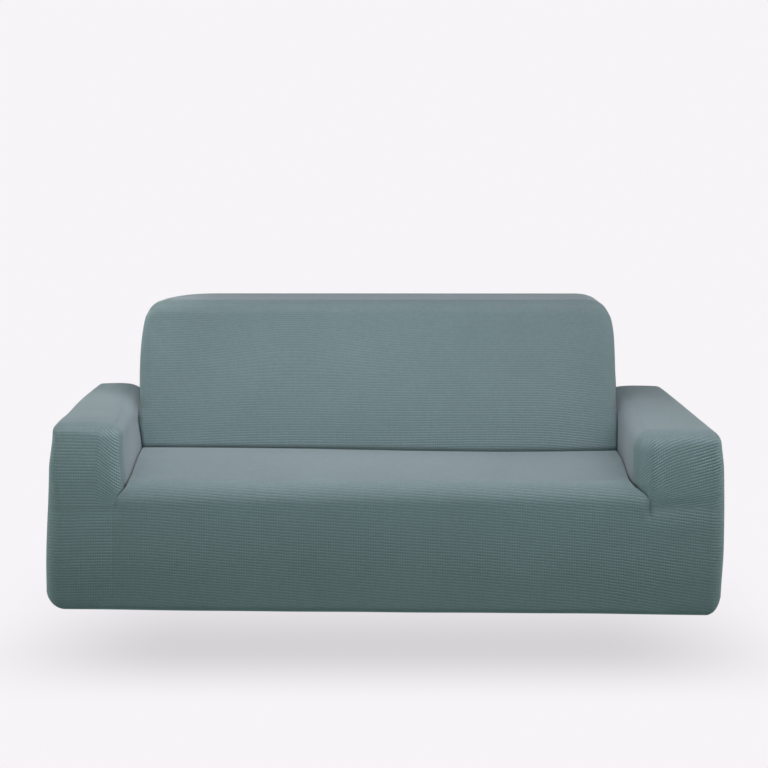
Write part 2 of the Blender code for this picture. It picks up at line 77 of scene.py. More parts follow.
# ---------------------------------------------------------------- shape rules
def clamp01(t):
    return np.clip(t, 0.0, 1.0)


def smooth(t):
    t = clamp01(t)
    return t * t * (3.0 - 2.0 * t)


def mix(a, b, t):
    return a + (b - a) * t


def bump_at(x, centre, width):
    return np.exp(-((x - centre) / width) ** 2)


def back_front_y(z):
    return Y_FRONT + SEAT_DEPTH + BACK_LEAN * clamp01((z - SEAT_Z) / (BACK_TOP - SEAT_Z)) ** 1.15


def arm_inner(side, y, z):
    a = ARMS[side]
    along = smooth((y - Y_FRONT) / SEAT_DEPTH)
    face = mix(a["inner_f"], a["inner_b"], along)
    flare = mix(a["flare_f"], a["flare_b"], along) * (1.0 - smooth((z - SEAT_Z + 0.01) / 0.10))
    open_notch = smooth((z - NOTCH_Z) / NOTCH_RISE[side])
    near_front = 1.0 - smooth((y - Y_FRONT - 0.08) / 0.10)
    return mix(face - flare, a["seam"], (1.0 - open_notch) * near_front)


def arm_front_start(side, z):
    a = ARMS[side]
    return mix(a["seam"], a["start"], smooth((z - NOTCH_Z - 0.03) / 0.08))


def arm_front_radius(side, z):
    return 0.046 * smooth((z - NOTCH_Z) / 0.040) + 1e-5


def arm_outline(side, y, z):
    inner = arm_inner(side, y, z)
    deep = arm_front_radius(side, z)
    wide = arm_front_start(side, z) - arm_inner(side, Y_FRONT + 0 * y, z)
    t = clamp01((Y_FRONT + deep - y) / deep)
    return inner + wide * (1.0 - np.sqrt(np.maximum(0.0, 1.0 - t * t)))


def hem_lift(x):
    """The hem is drawn up a little under the front, most left of the middle."""
    return 0.0020 + 0.0014 * bump_at(x, -0.02, 0.35)


def uneven(p):
    """The slack and pull that all panels share, so that their seams meet."""
    p = p.copy()
    x, y, z = p[:, 0].copy(), p[:, 1].copy(), p[:, 2].copy()
    low = 1.0 - smooth(z / 0.16)
    p[:, 2] = z - low * (0.0080 * x / HALF_W + 0.0010 * np.cos(5.2 * x + 0.6)) + low * hem_lift(x)
    z = p[:, 2].copy()
    left, right = smooth((-x - 0.60) / 0.22), smooth((x - 0.60) / 0.22)
    lean = 0.0113 * (1.0 - 0.85 * smooth((y - Y_FRONT) / 0.55))
    p[:, 0] += left * (lean * smooth((z - 0.10) / 0.30) - 0.0015 * np.sin(7.0 * y + 1.0))
    p[:, 0] -= right * (0.005 * smooth((z - 0.24) / 0.22) + 0.009 * (1.0 - smooth(z / 0.22)) + 0.0015 * np.sin(6.0 * y))
    crest, back = smooth((z - 0.36) / 0.09) * (1.0 - smooth((z - 0.49) / 0.05)), smooth((y + 0.40) / 0.75)
    p[:, 0] += left * crest * mix(0.0085, 0.0008, back)
    p[:, 2] += left * crest * 0.0050 * bump_at(y, Y_FRONT + 0.11, 0.11)
    p[:, 0] += smooth((-x - 0.55) / 0.10) * 0.0034 * bump_at(z, 0.650, 0.055)
    p[:, 0] -= right * (crest * mix(0.0060, -0.0055, back) + 0.0025 * smooth((z - 0.12) / 0.10) * (1.0 - back))
    front = 1.0 - smooth((y - Y_FRONT) / 0.10)
    p[:, 1] += front * (0.0025 * np.sin(3.1 * x + 0.4) * np.sin(9.0 * z + 0.5) - 0.003 * (1.0 - (x / HALF_W) ** 2))
    outer = smooth((np.abs(x) - 0.62) / 0.05)
    p[:, 1] += front * outer * np.where(x < 0, 0.016, 0.008) * clamp01((z - 0.33) / 0.14) ** 2
    rear = smooth((y - 0.30) / 0.12)
    p[:, 1] += rear * 0.0020 * np.sin(4.0 * x) * np.sin(7.0 * z)
    return p


# ---------------------------------------------------------------- how the knit's rows run on the front
GRID_X = np.linspace(-0.92, 0.92, 369)
GRID_Z = np.linspace(-0.10, 0.80, 181)
BREAK_Z = NOTCH_Z - 0.010     # on the arms' fronts the rows change their direction at the notches


def slope_low(x, z):
    """Rise per metre to the right of a row on the apron and across the arms below the notches."""
    s = mix(0.024, -0.078, smooth((x + 0.78) / 0.26))
    s = s - 0.060 * smooth((x - 0.36) / 0.34)
    return s + 0.010 * np.sin(7.3 * x + 9.0 * z) + 0.007 * np.sin(17.0 * x - 12.0 * z + 1.3)


def slope_high(x, z):
    """The same on the arms' fronts above the notches: dragged down at the left one, lifted at the right one."""
    left = -0.64 * smooth((x + 0.731) / 0.017) * smooth((z - 0.276) / 0.034)
    right = 0.275 + 0.42 * (1.0 - smooth((x - 0.655) / 0.095)) + 0.45 * (1.0 - smooth((x - 0.640) / 0.040))
    right = right * mix(0.60, 1.0, smooth((z - 0.27) / 0.05))
    return np.where(x < 0, left, right) + 0.010 * np.sin(9.0 * x + 14.0 * z)


def table(slope, start):
    """The height gained along a row from x = start."""
    x, z = np.meshgrid(GRID_X, GRID_Z, indexing="ij")
    rise = np.cumsum(slope(x, z), axis=0) * (GRID_X[1] - GRID_X[0])
    return rise - rise[int(np.argmin(np.abs(GRID_X - start)))][None, :]


def sample(values, x, z):
    fx = np.clip((x - GRID_X[0]) / (GRID_X[1] - GRID_X[0]), 0, len(GRID_X) - 1.001)
    fz = np.clip((z - GRID_Z[0]) / (GRID_Z[1] - GRID_Z[0]), 0, len(GRID_Z) - 1.001)
    i, j = fx.astype(int), fz.astype(int)
    a, b = fx - i, fz - j
    return ((values[i, j] * (1 - a) + values[i + 1, j] * a) * (1 - b)
            + (values[i, j + 1] * (1 - a) + values[i + 1, j + 1] * a) * b)


RISE_LOW = table(slope_low, -HALF_W)
RISE_HIGH = {"left": table(slope_high, -HALF_W), "right": table(slope_high, HALF_W)}
LIFT = {side: float(sample(RISE_LOW, np.array([SIGN[side] * HALF_W]), np.array([BREAK_Z]))[0]) for side in SIGN}


def row_rise(x, z, high_side=None):
    """How far a row has risen at a place on the front, against the level rows at the left end."""
    if high_side is None:
        return sample(RISE_LOW, x, z)
    return sample(RISE_HIGH[high_side], x, z) + LIFT[high_side]


# ---------------------------------------------------------------- mesh tools
def spread(a, b, step):
    n = max(1, int(math.ceil((b - a) / step)))
    return [mix(a, b, k / n) for k in range(n + 1)]


def zone_lines(lo, hi, n=None):
    """Lines through the rounded strips at both ends, evenly spaced by angle."""
    n = n or ARC_STEPS
    t = [math.tan(math.radians(45.0 * k / n)) for k in range(n + 1)]
    return [lo + ZONE * (1.0 - v) for v in t] + [hi - ZONE * (1.0 - v) for v in t]


def lines(values, least=0.0006):
    out = []
    for v in sorted(values):
        if not out or v - out[-1] > least:
            out.append(v)
        else:
            out[-1] = v if abs(v - round(v, 3)) < 1e-9 else out[-1]
    return np.array(out)


def cage(xs, ys, zs, keep):
    """The surface lattice of a box: points, quads facing outward, and each quad's side as (axis, end)."""
    axes = [np.asarray(xs), np.asarray(ys), np.asarray(zs)]
    cells, sides = [], []
    for a in range(3):
        b, c = [k for k in range(3) if k != a]
        jb, jc = np.meshgrid(np.arange(len(axes[b]) - 1), np.arange(len(axes[c]) - 1), indexing="ij")
        jb, jc = jb.ravel(), jc.ravel()
        for end in (0, 1):
            f = np.zeros((len(jb), 4, 3), int)
            for k, (db, dc) in enumerate(((0, 0), (1, 0), (1, 1), (0, 1))):
                f[:, k, a] = end * (len(axes[a]) - 1)
                f[:, k, b] = jb + db
                f[:, k, c] = jc + dc
            if (end == 0) != (a == 1):
                f = f[:, ::-1]
            centre = np.stack([axes[k][f[:, :, k]].mean(axis=1) for k in range(3)], axis=1)
            good = keep(a, end, centre)
            cells.append(f[good])
            sides += [(a, end)] * int(good.sum())
    cells = np.concatenate(cells)
    n = [len(v) for v in axes]
    key = (cells[:, :, 0] * n[1] + cells[:, :, 1]) * n[2] + cells[:, :, 2]
    names, quads = np.unique(key, return_inverse=True)
    quads = quads.reshape(key.shape)
    i, j, k = names // (n[1] * n[2]), (names // n[2]) % n[1], names % n[2]
    points = np.stack([axes[0][i], axes[1][j], axes[2][k]], axis=1)
    return points, quads, np.array(sides)


def zone(value, lo, hi):
    return np.clip((value - (hi - ZONE)) / ZONE, 0, 1) - np.clip(((lo + ZONE) - value) / ZONE, 0, 1)


def flat_part(value, lo, hi):
    return clamp01((value - lo - ZONE) / (hi - lo - 2 * ZONE))


def normals_of(points, quads):
    d1 = points[quads[:, 2]] - points[quads[:, 0]]
    d2 = points[quads[:, 3]] - points[quads[:, 1]]
    n = np.cross(d1, d2)
    out = np.zeros_like(points)
    for k in range(4):
        np.add.at(out, quads[:, k], n)
    return out / np.maximum(np.linalg.norm(out, axis=1, keepdims=True), 1e-12)


def cloth(name, points, quads, uv, loft, crease_shade, material, inside):
    """One closed sheet of cloth: uv is (faces, 4, 2) in metres, loft is how raised the check stands at each point,
    and the crease shade is how deep in a tuck the point lies, where the colour is painted dark as shade."""
    q = points[quads]
    normal = np.cross(q[:, 2] - q[:, 0], q[:, 3] - q[:, 1])
    if (normal * (q.mean(axis=1) - np.array(inside))).sum() < 0:
        quads, uv = quads[:, ::-1], uv[:, ::-1]
    sheet = bpy.data.meshes.new(name + "_outer")
    sheet.from_pydata(points.tolist(), [], quads.tolist())
    sheet.uv_layers.new(name="knit").data.foreach_set("uv", np.ascontiguousarray(uv).reshape(-1))
    sheet.attributes.new("loft", "FLOAT", "POINT").data.foreach_set("value", np.asarray(loft, dtype=float))
    sheet.attributes.new("crease_shade", "FLOAT", "POINT").data.foreach_set("value", np.asarray(crease_shade, dtype=float))
    bm = bmesh.new()
    bm.from_mesh(sheet)
    bmesh.ops.remove_doubles(bm, verts=bm.verts[:], dist=3e-5)
    bmesh.ops.dissolve_degenerate(bm, edges=bm.edges[:], dist=2e-5)
    bmesh.ops.delete(bm, geom=[v for v in bm.verts if not v.link_faces], context="VERTS")
    bm.normal_update()
    bm.verts.ensure_lookup_table()
    bm.verts.index_update()
    knit, raised, painted_shade = bm.loops.layers.uv["knit"], bm.verts.layers.float["loft"], bm.verts.layers.float["crease_shade"]
    n = len(bm.verts)
    co = [v.co.copy() for v in bm.verts]
    back = [v.co - v.normal * CLOTH for v in bm.verts]
    lofts = [v[raised] for v in bm.verts]
    crease_shades = [v[painted_shade] for v in bm.verts]
    faces, coords = [], []
    for f in bm.faces:
        ids = [v.index for v in f.verts]
        at = [l[knit].uv[:] for l in f.loops]
        faces.append(ids)
        coords += at
        faces.append([i + n for i in reversed(ids)])
        coords += at[::-1]
    rim = []
    for e in bm.edges:
        if len(e.link_loops) != 1:
            continue
        loop = e.link_loops[0]
        i, j = loop.vert.index, loop.link_loop_next.vert.index
        a, b = loop[knit].uv, loop.link_loop_next[knit].uv
        faces.append([j, i, i + n, j + n])
        coords += [b[:], a[:], a[:], b[:]]
        rim += [(i, j), (i + n, j + n)]
    bm.free()
    bpy.data.meshes.remove(sheet)
    mesh = bpy.data.meshes.new(name)
    mesh.from_pydata(co + back, [], faces)
    mesh.uv_layers.new(name="knit").data.foreach_set("uv", np.array(coords).reshape(-1))
    mesh.attributes.new("loft", "FLOAT", "POINT").data.foreach_set("value", np.array(lofts + lofts))
    mesh.attributes.new("crease_shade", "FLOAT", "POINT").data.foreach_set("value", np.array(crease_shades + crease_shades))
    mesh.shade_smooth()
    # the cut edges don't round off the shading of the faces beside them
    pairs = {(min(p), max(p)) for p in rim}
    ends = np.zeros(len(mesh.edges) * 2, int)
    mesh.edges.foreach_get("vertices", ends)
    ends = np.sort(ends.reshape(-1, 2), axis=1)
    sharp = np.array([(a, b) in pairs for a, b in ends.tolist()])
    mesh.attributes.new("sharp_edge", "BOOLEAN", "EDGE").data.foreach_set("value", sharp)
    obj = bpy.data.objects.new(name, mesh)
    bpy.context.scene.collection.objects.link(obj)
    mesh.materials.append(material)
    return obj


# ---------------------------------------------------------------- arm covers
def arm_points(side):
    a, s = ARMS[side], SIGN[side]
    inner0 = 0.640
    lo, hi = (inner0, Y_FRONT, 0.0), (HALF_W, Y_REAR, 0.460)
    rim_x = HALF_W - ZONE - RIM
    flap_x, flap_y = hi[0] - ZONE - HEM_FLAP, lo[1] + ZONE + HEM_FLAP
    wall_y = Y_FRONT + SEAT_DEPTH + 0.06
    seam_lines = [rim_x + 0.0015, rim_x + 0.003, rim_x + 0.006]
    xs = lines(zone_lines(lo[0], hi[0]) + spread(lo[0] + ZONE, 0.735, 0.0045) + spread(0.735, hi[0] - ZONE, STEP) + [rim_x, flap_x] + seam_lines + [lo[0], hi[0]])
    ys = lines(zone_lines(lo[1], hi[1]) + spread(lo[1] + ZONE, hi[1] - ZONE, STEP) + [flap_y, wall_y, Y_REAR - ZONE - RIM, lo[1], hi[1]])
    near = [NOTCH_Z + 0.004 * k for k in range(14)]
    zs = lines(zone_lines(lo[2], hi[2]) + [v for v in spread(lo[2] + ZONE, hi[2] - ZONE, STEP) if not NOTCH_Z - 0.003 < v < NOTCH_Z + 0.055]
               + near + [SEAT_Z - TUCK, RIM_Z, RIM_Z + 0.003, RIM_Z + 0.006, RIM_Z + 0.012, lo[2], hi[2]])
    snap = lambda arr, v: arr[np.argmin(np.abs(arr - v))]
    rim_x, flap_x, wall_y, flap_y = snap(xs, rim_x), snap(xs, flap_x), snap(ys, wall_y), snap(ys, flap_y)
    tuck_z, rim_z, notch_z = snap(zs, SEAT_Z - TUCK), snap(zs, RIM_Z), snap(zs, NOTCH_Z)

    def keep(axis, end, c):
        if axis == 0 and end == 0:
            return c[:, 2] > np.where(c[:, 1] < wall_y, tuck_z, rim_z)
        if axis == 1 and end == 1:
            return (c[:, 0] > rim_x) | (c[:, 2] > rim_z)
        if axis == 1 and end == 0:
            return (c[:, 0] > inner0 + ZONE) | (c[:, 2] > notch_z)
        if axis == 2 and end == 0:
            return ((c[:, 0] > flap_x) | (c[:, 1] < flap_y)) & (c[:, 0] > inner0 + ZONE)
        return np.ones(len(c), bool)

    c, quads, sides = cage(xs, ys, zs, keep)
    n = np.stack([zone(c[:, k], lo[k], hi[k]) for k in range(3)], axis=1)
    closed = (c[:, 0] < inner0 + ZONE + 1e-4) & (c[:, 2] < NOTCH_Z + 1e-3) & (c[:, 1] < 0)
    n[closed, 0] = 0.0
    z = np.where(n[:, 2] > 0, hi[2] - 0.02, np.where(n[:, 2] < 0, 0.0, c[:, 2]))
    squared = n[:, 0] ** 2 + n[:, 1] ** 2
    sideways = np.where(squared > 1e-9, n[:, 0] ** 2 / np.maximum(squared, 1e-9), 0.0)
    hem_side, hem_up = HEM_R[side]
    hem_r = mix(HEM_FRONT, hem_up, sideways)
    inner_half = smooth((0.765 - c[:, 0]) / 0.07)
    top_zone = smooth((z - hi[2] + 0.10) / 0.06)
    rear_fade = smooth((z - RIM_Z - 0.012) / 0.060) + 1e-4
    front_r = mix(0.040, arm_front_radius(side, z), inner_half)
    rear_r = mix(REAR_R, REAR_R * rear_fade, inner_half)
    upright_r = np.where(n[:, 1] < 0, front_r, rear_r)
    r_y = np.where(n[:, 2] < 0, mix(upright_r, np.maximum(hem_r, 0.6 * upright_r * sideways), -n[:, 2]), upright_r)
    near_front = 1.0 - clamp01((c[:, 1] - Y_FRONT - ZONE) / 0.08)
    y_flat = c[:, 1] + near_front * (front_r - ZONE) * (n[:, 2] >= 0)
    y_core = np.where(n[:, 1] < 0, Y_FRONT + r_y, np.where(n[:, 1] > 0, Y_REAR - r_y, y_flat))
    inner = arm_inner(side, y_core, z)
    wide = np.maximum(arm_front_start(side, z) - arm_inner(side, Y_FRONT + 0 * z, z), 1e-5)
    by_rear = smooth((c[:, 1] + 0.20) / 0.30)
    slump = mix(a["roll_f"], a["roll_b"], smooth((c[:, 1] + 0.15) / 0.45))
    r_in = mix(mix(wide, REAR_R * rear_fade, by_rear), slump, top_zone * smooth((c[:, 1] - Y_FRONT - 0.02) / 0.12))
    r_out = mix(hem_side, a["top_r"], smooth((z - 0.25) / 0.15))
    r_x = np.where(n[:, 0] < 0, r_in, r_out)
    # on the rear edge the slack roll fades out over the whole flat of the top
    start = inner0 + ZONE
    fading = float(smooth((0.765 - start) / 0.07)) * smooth((0.815 - c[:, 0]) / (0.815 - start))
    r_top = mix(a["top_r"], slump, np.where(n[:, 1] > 0, np.maximum(inner_half, fading), inner_half))
    r_z = np.where(n[:, 2] > 0, r_top, hem_r)
    pull = mix(clamp01((0.775 - c[:, 0]) / (0.775 - start)), clamp01((0.815 - c[:, 0]) / (0.815 - start)), smooth(c[:, 1] / 0.2))
    flat_x = c[:, 0] + pull * (inner + r_in - inner0 - ZONE)
    flat_x = flat_x + clamp01((c[:, 0] - 0.775) / (HALF_W - ZONE - 0.775)) * (ZONE - r_out)
    flat_x = np.where(closed, a["seam"] + 0.5 * SEAM, flat_x)
    top = a["top"] - a["drop"] * clamp01((y_core - Y_FRONT - 0.05) / (Y_REAR - Y_FRONT - 0.1))
    rise = clamp01((c[:, 2] - RIM_Z) / (hi[2] - ZONE - RIM_Z)) * (top - hi[2] + ZONE - r_top)
    core = np.stack([
        np.where(n[:, 0] < 0, inner + r_in, np.where(n[:, 0] > 0, HALF_W - r_x, flat_x)),
        y_core,
        np.where(n[:, 2] > 0, top - r_z, np.where(n[:, 2] < 0, r_z, c[:, 2] + rise)),
    ], axis=1)
    radius = np.stack([r_x, r_y, r_z], axis=1)
    length = np.maximum(np.sqrt((n ** 2).sum(axis=1, keepdims=True)), 1e-9)
    p = core + radius * n / length
    across = np.sin(np.pi * clamp01((c[:, 0] - lo[0]) / (hi[0] - lo[0])))
    p[:, 2] += 0.004 * across * (n[:, 2] > 0.99) * (1.0 - np.abs(n[:, 1]))

    # the weave: rows run level round the sides and the front, and on over the front edge to the rear
    nx, ny, nz = np.abs(n[:, 0]), np.abs(n[:, 1]), n[:, 2]
    half = 0.5 * math.pi
    turn_y = np.arctan2(nx, np.maximum(ny, 1e-9))           # away from the front or rear
    turn_z = np.arctan2(nx, np.maximum(np.abs(nz), 1e-9))   # away from the top
    end = np.where(n[:, 0] < 0, -1.0, 1.0)
    r_side = np.where(n[:, 0] < 0, 0.5 * (r_in + front_r), r_out)
    far = y_core - (Y_FRONT + front_r)
    over = np.arctan2(np.maximum(nz, 0.0), np.where(nz > 0, -n[:, 1], 1.0))
    front_u = core[:, 0] + end * r_side * turn_y
    front_v = core[:, 2] + np.where(nz > 0, r_z * over + far, -hem_r * np.arctan2(np.maximum(-nz, 0.0), np.maximum(ny, 1e-9)))
    top_u = core[:, 0] + end * r_side * turn_z
    past = np.where(n[:, 1] < 0, half - np.arctan2(ny, np.maximum(nx, 1e-9)), half)
    side_u = core[:, 0] + end * (r_side * past + np.where(n[:, 1] < 0, 0.0, far) + np.where(n[:, 1] > 0, REAR_R * np.arctan2(ny, np.maximum(nx, 1e-9)), 0.0))
    side_v = core[:, 2] + np.where(nz > 0, r_z, hem_r) * np.sign(nz) * np.arctan2(np.abs(nz), np.maximum(nx, 1e-9))
    rear_u = core[:, 0] + end * (r_out * half + far + REAR_R * half) + (HALF_W - r_out - core[:, 0]) * (nx < 1e-6) * 2.0
    rear_v = core[:, 2] + np.where(nz > 0, r_z, hem_r) * np.sign(nz) * np.arctan2(np.abs(nz), np.maximum(ny, 1e-9))
    axis, which = sides[:, 0], sides[:, 1]
    front, rear = (axis == 1) & (which == 0), (axis == 1) & (which == 1)
    top_f, bottom = (axis == 2) & (which == 1), (axis == 2) & (which == 0)
    inner_f = (axis == 0) & (which == 0)
    high = p[quads][:, :, 2].mean(axis=1) > BREAK_Z
    inner_x = arm_inner(side, Y_FRONT + 0.0 * z, z) + 0.293 * wide      # where the front turns into the inner side
    uv = np.zeros((len(quads), 4, 2))
    for k in range(4):
        i = quads[:, k]
        x, zz = p[i, 0], p[i, 2]
        uu = np.where(front, front_u[i], np.where(top_f, top_u[i], np.where(rear, rear_u[i], side_u[i])))
        vv = np.where(front | top_f, front_v[i], np.where(rear, rear_v[i], side_v[i]))
        at = np.where(front | top_f, x, np.where(inner_f, inner_x[i], HALF_W))
        rise = np.where(high, row_rise(s * at, zz, side), row_rise(s * at, np.maximum(zz, 0.0)))
        # the hem's underside: measured inward from the nearest outer edge
        from_side = HALF_W - x < p[i, 1] - Y_FRONT
        uu = np.where(bottom, np.where(from_side, p[i, 1] + HALF_W - Y_FRONT, x), uu)
        vv = np.where(bottom, -np.where(from_side, HALF_W - x, p[i, 1] - Y_FRONT), vv)
        uv[:, k, 0] = s * uu
        uv[:, k, 1] = vv - rise
    # the check shows most on the front; it is stretched flat over the top, the inner side and where the rows turn
    x, zz = p[:, 0], p[:, 2]
    top_side = np.where(nz > 0, smooth(nz * (1.15 - 0.5 * ny) - 0.1), 0.0)
    edge = smooth((zz - (BREAK_Z - 0.009)) / 0.009) * (1.0 - smooth((zz - BREAK_Z) / 0.010))
    if side == "left":
        drag = mix(0.35, 1.0, smooth((0.722 - x) / 0.040)) * smooth((0.730 - x) / 0.010) * smooth((zz - 0.295) / 0.045)
        loft = mix(0.70, 0.60, smooth((zz - BREAK_Z) / 0.02)) + 0.80 * drag * (n[:, 1] < -0.5)
    else:
        drag = bump_at(x, 0.680, 0.035) * smooth((zz - 0.30) / 0.05) + 0.7 * bump_at(x, 0.815, 0.045) * bump_at(zz, 0.385, 0.035)
        loft = mix(0.64, 0.78, smooth((zz - BREAK_Z) / 0.05)) + 0.60 * drag * (n[:, 1] < -0.5)
    loft = loft * mix(0.45, 1.0, smooth((zz - 0.03) / 0.13))
    loft = loft * (1.0 - 0.60 * edge * (n[:, 1] < -0.5)) * (1.0 - 0.9 * top_side)
    inward = np.arctan2(nx, np.maximum(ny * (n[:, 1] < 0), 1e-9)) * (n[:, 0] < 0)     # how far the front has turned into the inner side
    loft = loft * (1.0 - 0.85 * smooth((inward - math.radians(40.0)) / math.radians(16.0)))
    # painted shade in the tucks beside the seat and the backrest: the colour is darkened there
    seat_z = seat_height(s * x, np.minimum(p[:, 1], Y_FRONT + SEAT_DEPTH))
    facing = smooth(nx * (n[:, 0] < 0) * 2.0 - 0.2)
    crease_shade = facing * (1.0 - smooth((zz - seat_z + 0.009) / 0.006)) * (p[:, 1] > Y_FRONT + SEAT_R * 0.5)
    p[:, 0] *= s
    return p, quads, uv, np.clip(loft, 0.06, 2.0), crease_shade


# ---------------------------------------------------------------- seat and front
def seat_side(side, y, z):
    return arm_outline(side, y, z) - TUCK_GAP


def seat_rear_y(x):
    y = Y_FRONT + SEAT_DEPTH + BACK_LOW_R
    left = 1.0 - (arm_inner("left", y, SEAT_Z) - TUCK_GAP + x) / BACK_LOW_R
    right = 1.0 - (arm_inner("right", y, SEAT_Z) - TUCK_GAP - x) / BACK_LOW_R
    t = np.clip(np.maximum(left, right), 0.0, 0.94)
    return Y_FRONT + SEAT_DEPTH - TUCK_GAP + BACK_LOW_R * (1.0 - np.sqrt(1.0 - t * t))


def seat_height(x, y):
    back = smooth((y - Y_FRONT - 0.06) / (SEAT_DEPTH - 0.06))
    dip = 0.013 * back * np.exp(-((x - 0.35) / 0.55) ** 2)
    crown = SEAT_CROWN * (1.0 - (x / 0.69) ** 2) * np.sin(np.pi * clamp01((y - Y_FRONT - SEAT_R) / (SEAT_DEPTH - SEAT_R)))
    return SEAT_Z + crown - dip * smooth((y - Y_FRONT - SEAT_R) / 0.10)


def turn_profile(n=6, straight=4):
    """The turned-down edge as (distance still to go outward, depth, length along the cloth)."""
    out = []
    for k in range(n + 1):
        t = 0.5 * math.pi * k / n
        out.append((GROOVE + TUCK_R * (1 - math.sin(t)), TUCK_R * (1 - math.cos(t)), TUCK_R * t))
    for k in range(1, straight + 1):
        d = (TUCK - TUCK_R) * k / straight
        out.append((GROOVE * float(1.0 - smooth((k / straight - 0.5) * 2.0)), TUCK_R + d, TUCK_R * 0.5 * math.pi + d))
    return out


def seat_points():
    turn = turn_profile()
    m = len(turn) - 1
    rows = [("rear", k, 0.0) for k in range(m, 0, -1)]
    seat_n = int(0.44 / STEP)
    rows += [("seat", k / seat_n, 0.0) for k in range(seat_n)]
    rows += [("edge", math.radians(90.0 * k / 14), 0.0) for k in range(15)]
    front_n = int(0.25 / STEP)
    rows += [("front", k / front_n, 0.0) for k in range(1, front_n)]
    rows += [("hem", math.radians(90.0 * k / 10), 0.0) for k in range(11)]
    rows += [("flap", k / 5, 0.0) for k in range(1, 6)]
    nu = int(1.34 / STEP)
    t_in = np.linspace(0.0, 1.0, nu + 1)
    offs = [(-1, m - k) for k in range(m)] + [(0, k) for k in range(nu + 1)] + [(1, k + 1) for k in range(m)]
    rows_n, cols_n = len(rows), len(offs)
    p = np.zeros((rows_n, cols_n, 3))
    uv = np.zeros((rows_n, cols_n, 2))
    alive = np.ones((rows_n, cols_n), bool)
    sunk_shade = np.zeros((rows_n, cols_n))
    top_edge = Y_FRONT + SEAT_R
    t_col = np.array([0.0 if o[0] < 0 else 1.0 if o[0] > 0 else t_in[o[1]] for o in offs])
    side_of = np.array([-1 if t < 0.5 else 1 for t in t_col])
    off_of = np.array([o[1] if o[0] else 0 for o in offs])
    edge_len = SEAT_R * 0.5 * math.pi
    for r, (kind, t, _) in enumerate(rows):
        y, z, back, down = Y_FRONT, SEAT_Z, 0.0, -1.0
        depth = 1.0
        if kind == "edge":
            y, z = Y_FRONT + SEAT_R * (1 - math.sin(t)), SEAT_Z - SEAT_R * (1 - math.cos(t))
            back, down = math.sin(t), -math.cos(t)
            depth = float(1.0 - smooth((math.degrees(t) - 25.0) / 65.0))
        elif kind in ("front", "hem", "flap"):
            back, down, depth = 1.0, 0.0, 0.0
        on_seam = kind in ("front", "hem", "flap") or (kind == "edge" and t > 1.5)
        ends = {}
        for name in ("left", "right"):
            at = y
            if kind in ("rear", "seat"):
                far = Y_FRONT + SEAT_DEPTH + 0.6 * BACK_LOW_R
                at = far if kind == "rear" else mix(far, top_edge, t)
            edge = ARMS[name]["seam"] - 0.5 * SEAM if on_seam else float(seat_side(name, np.array([at]), np.array([z]))[0])
            ends[name] = edge - TUCK_R - GROOVE * depth
        x = mix(-ends["left"], ends["right"], t_col)
        yy = np.full(cols_n, y)
        zz = np.full(cols_n, z)
        d_rear = 0.0
        if kind in ("rear", "seat"):
            k = int(t) if kind == "rear" else 0
            start = seat_rear_y(x) - TUCK_R - GROOVE
            if kind == "rear":
                yy = start + TUCK_R + GROOVE - turn[k][0]
                d_rear = turn[k][1]
            else:
                yy = mix(start, top_edge, t)
            zz = seat_height(x, np.minimum(yy, Y_FRONT + SEAT_DEPTH))
        go = np.array([turn[o][0] for o in off_of])
        dp = np.array([turn[o][1] for o in off_of])
        ln = np.array([turn[o][2] for o in off_of])
        flank = off_of > 0
        drop = np.where(flank, dp * depth, 0.0)
        if kind == "rear":
            drop = np.maximum(drop, d_rear)
        yy2 = yy + back * np.where(flank, dp * depth, 0.0)
        if kind == "edge":    # beside the notches it is tucked just behind the arms' fronts
            yy2 = yy2 + 0.0020 * math.sin(math.pi * max(0.0, math.degrees(t) - 40.0) / 50.0) * smooth((off_of - 1.0) / 3.0)
        zz2 = zz + (down * drop if kind not in ("rear", "seat") else -drop)
        for name, sg in (("left", -1), ("right", 1)):
            pick = flank & (side_of == sg)
            if pick.any():
                if on_seam:
                    e = np.full(pick.sum(), ARMS[name]["seam"] - 0.5 * SEAM)
                elif kind == "edge":
                    e = seat_side(name, yy2[pick], zz2[pick])
                else:   # deep down it follows the arm, which opens outward towards the notch
                    e = seat_side(name, yy2[pick], zz[pick] - dp[pick] * smooth((dp[pick] - TUCK_R) / (0.6 * (TUCK - TUCK_R))))
                x[pick] = SIGN[name] * (e - np.maximum(go[pick] - GROOVE * (1.0 - depth), 0.0))
        if kind == "rear":    # and into the corner between the arm and the backrest's rounded edge
            yy2 = np.where(flank, seat_rear_y(x) - turn[int(t)][0], yy2)
        hem_r = HEM_FRONT
        if kind == "front":
            zz2 = np.full(cols_n, mix(SEAT_Z - SEAT_R, hem_r, t))
        elif kind == "hem":
            yy2, zz2 = np.full(cols_n, Y_FRONT + hem_r * (1 - math.cos(t))), np.full(cols_n, hem_r * (1 - math.sin(t)))
        elif kind == "flap":
            yy2, zz2 = np.full(cols_n, Y_FRONT + mix(hem_r, ZONE + HEM_FLAP, t)), 0.0 * x
        p[r] = np.stack([x, yy2, zz2], axis=1)
        # how deep in the tucks the cloth lies, where its colour is darkened as painted shade
        sunk_shade[r] = smooth((np.maximum(np.where(flank, dp * depth, 0.0), d_rear) - 0.0035) / 0.005)
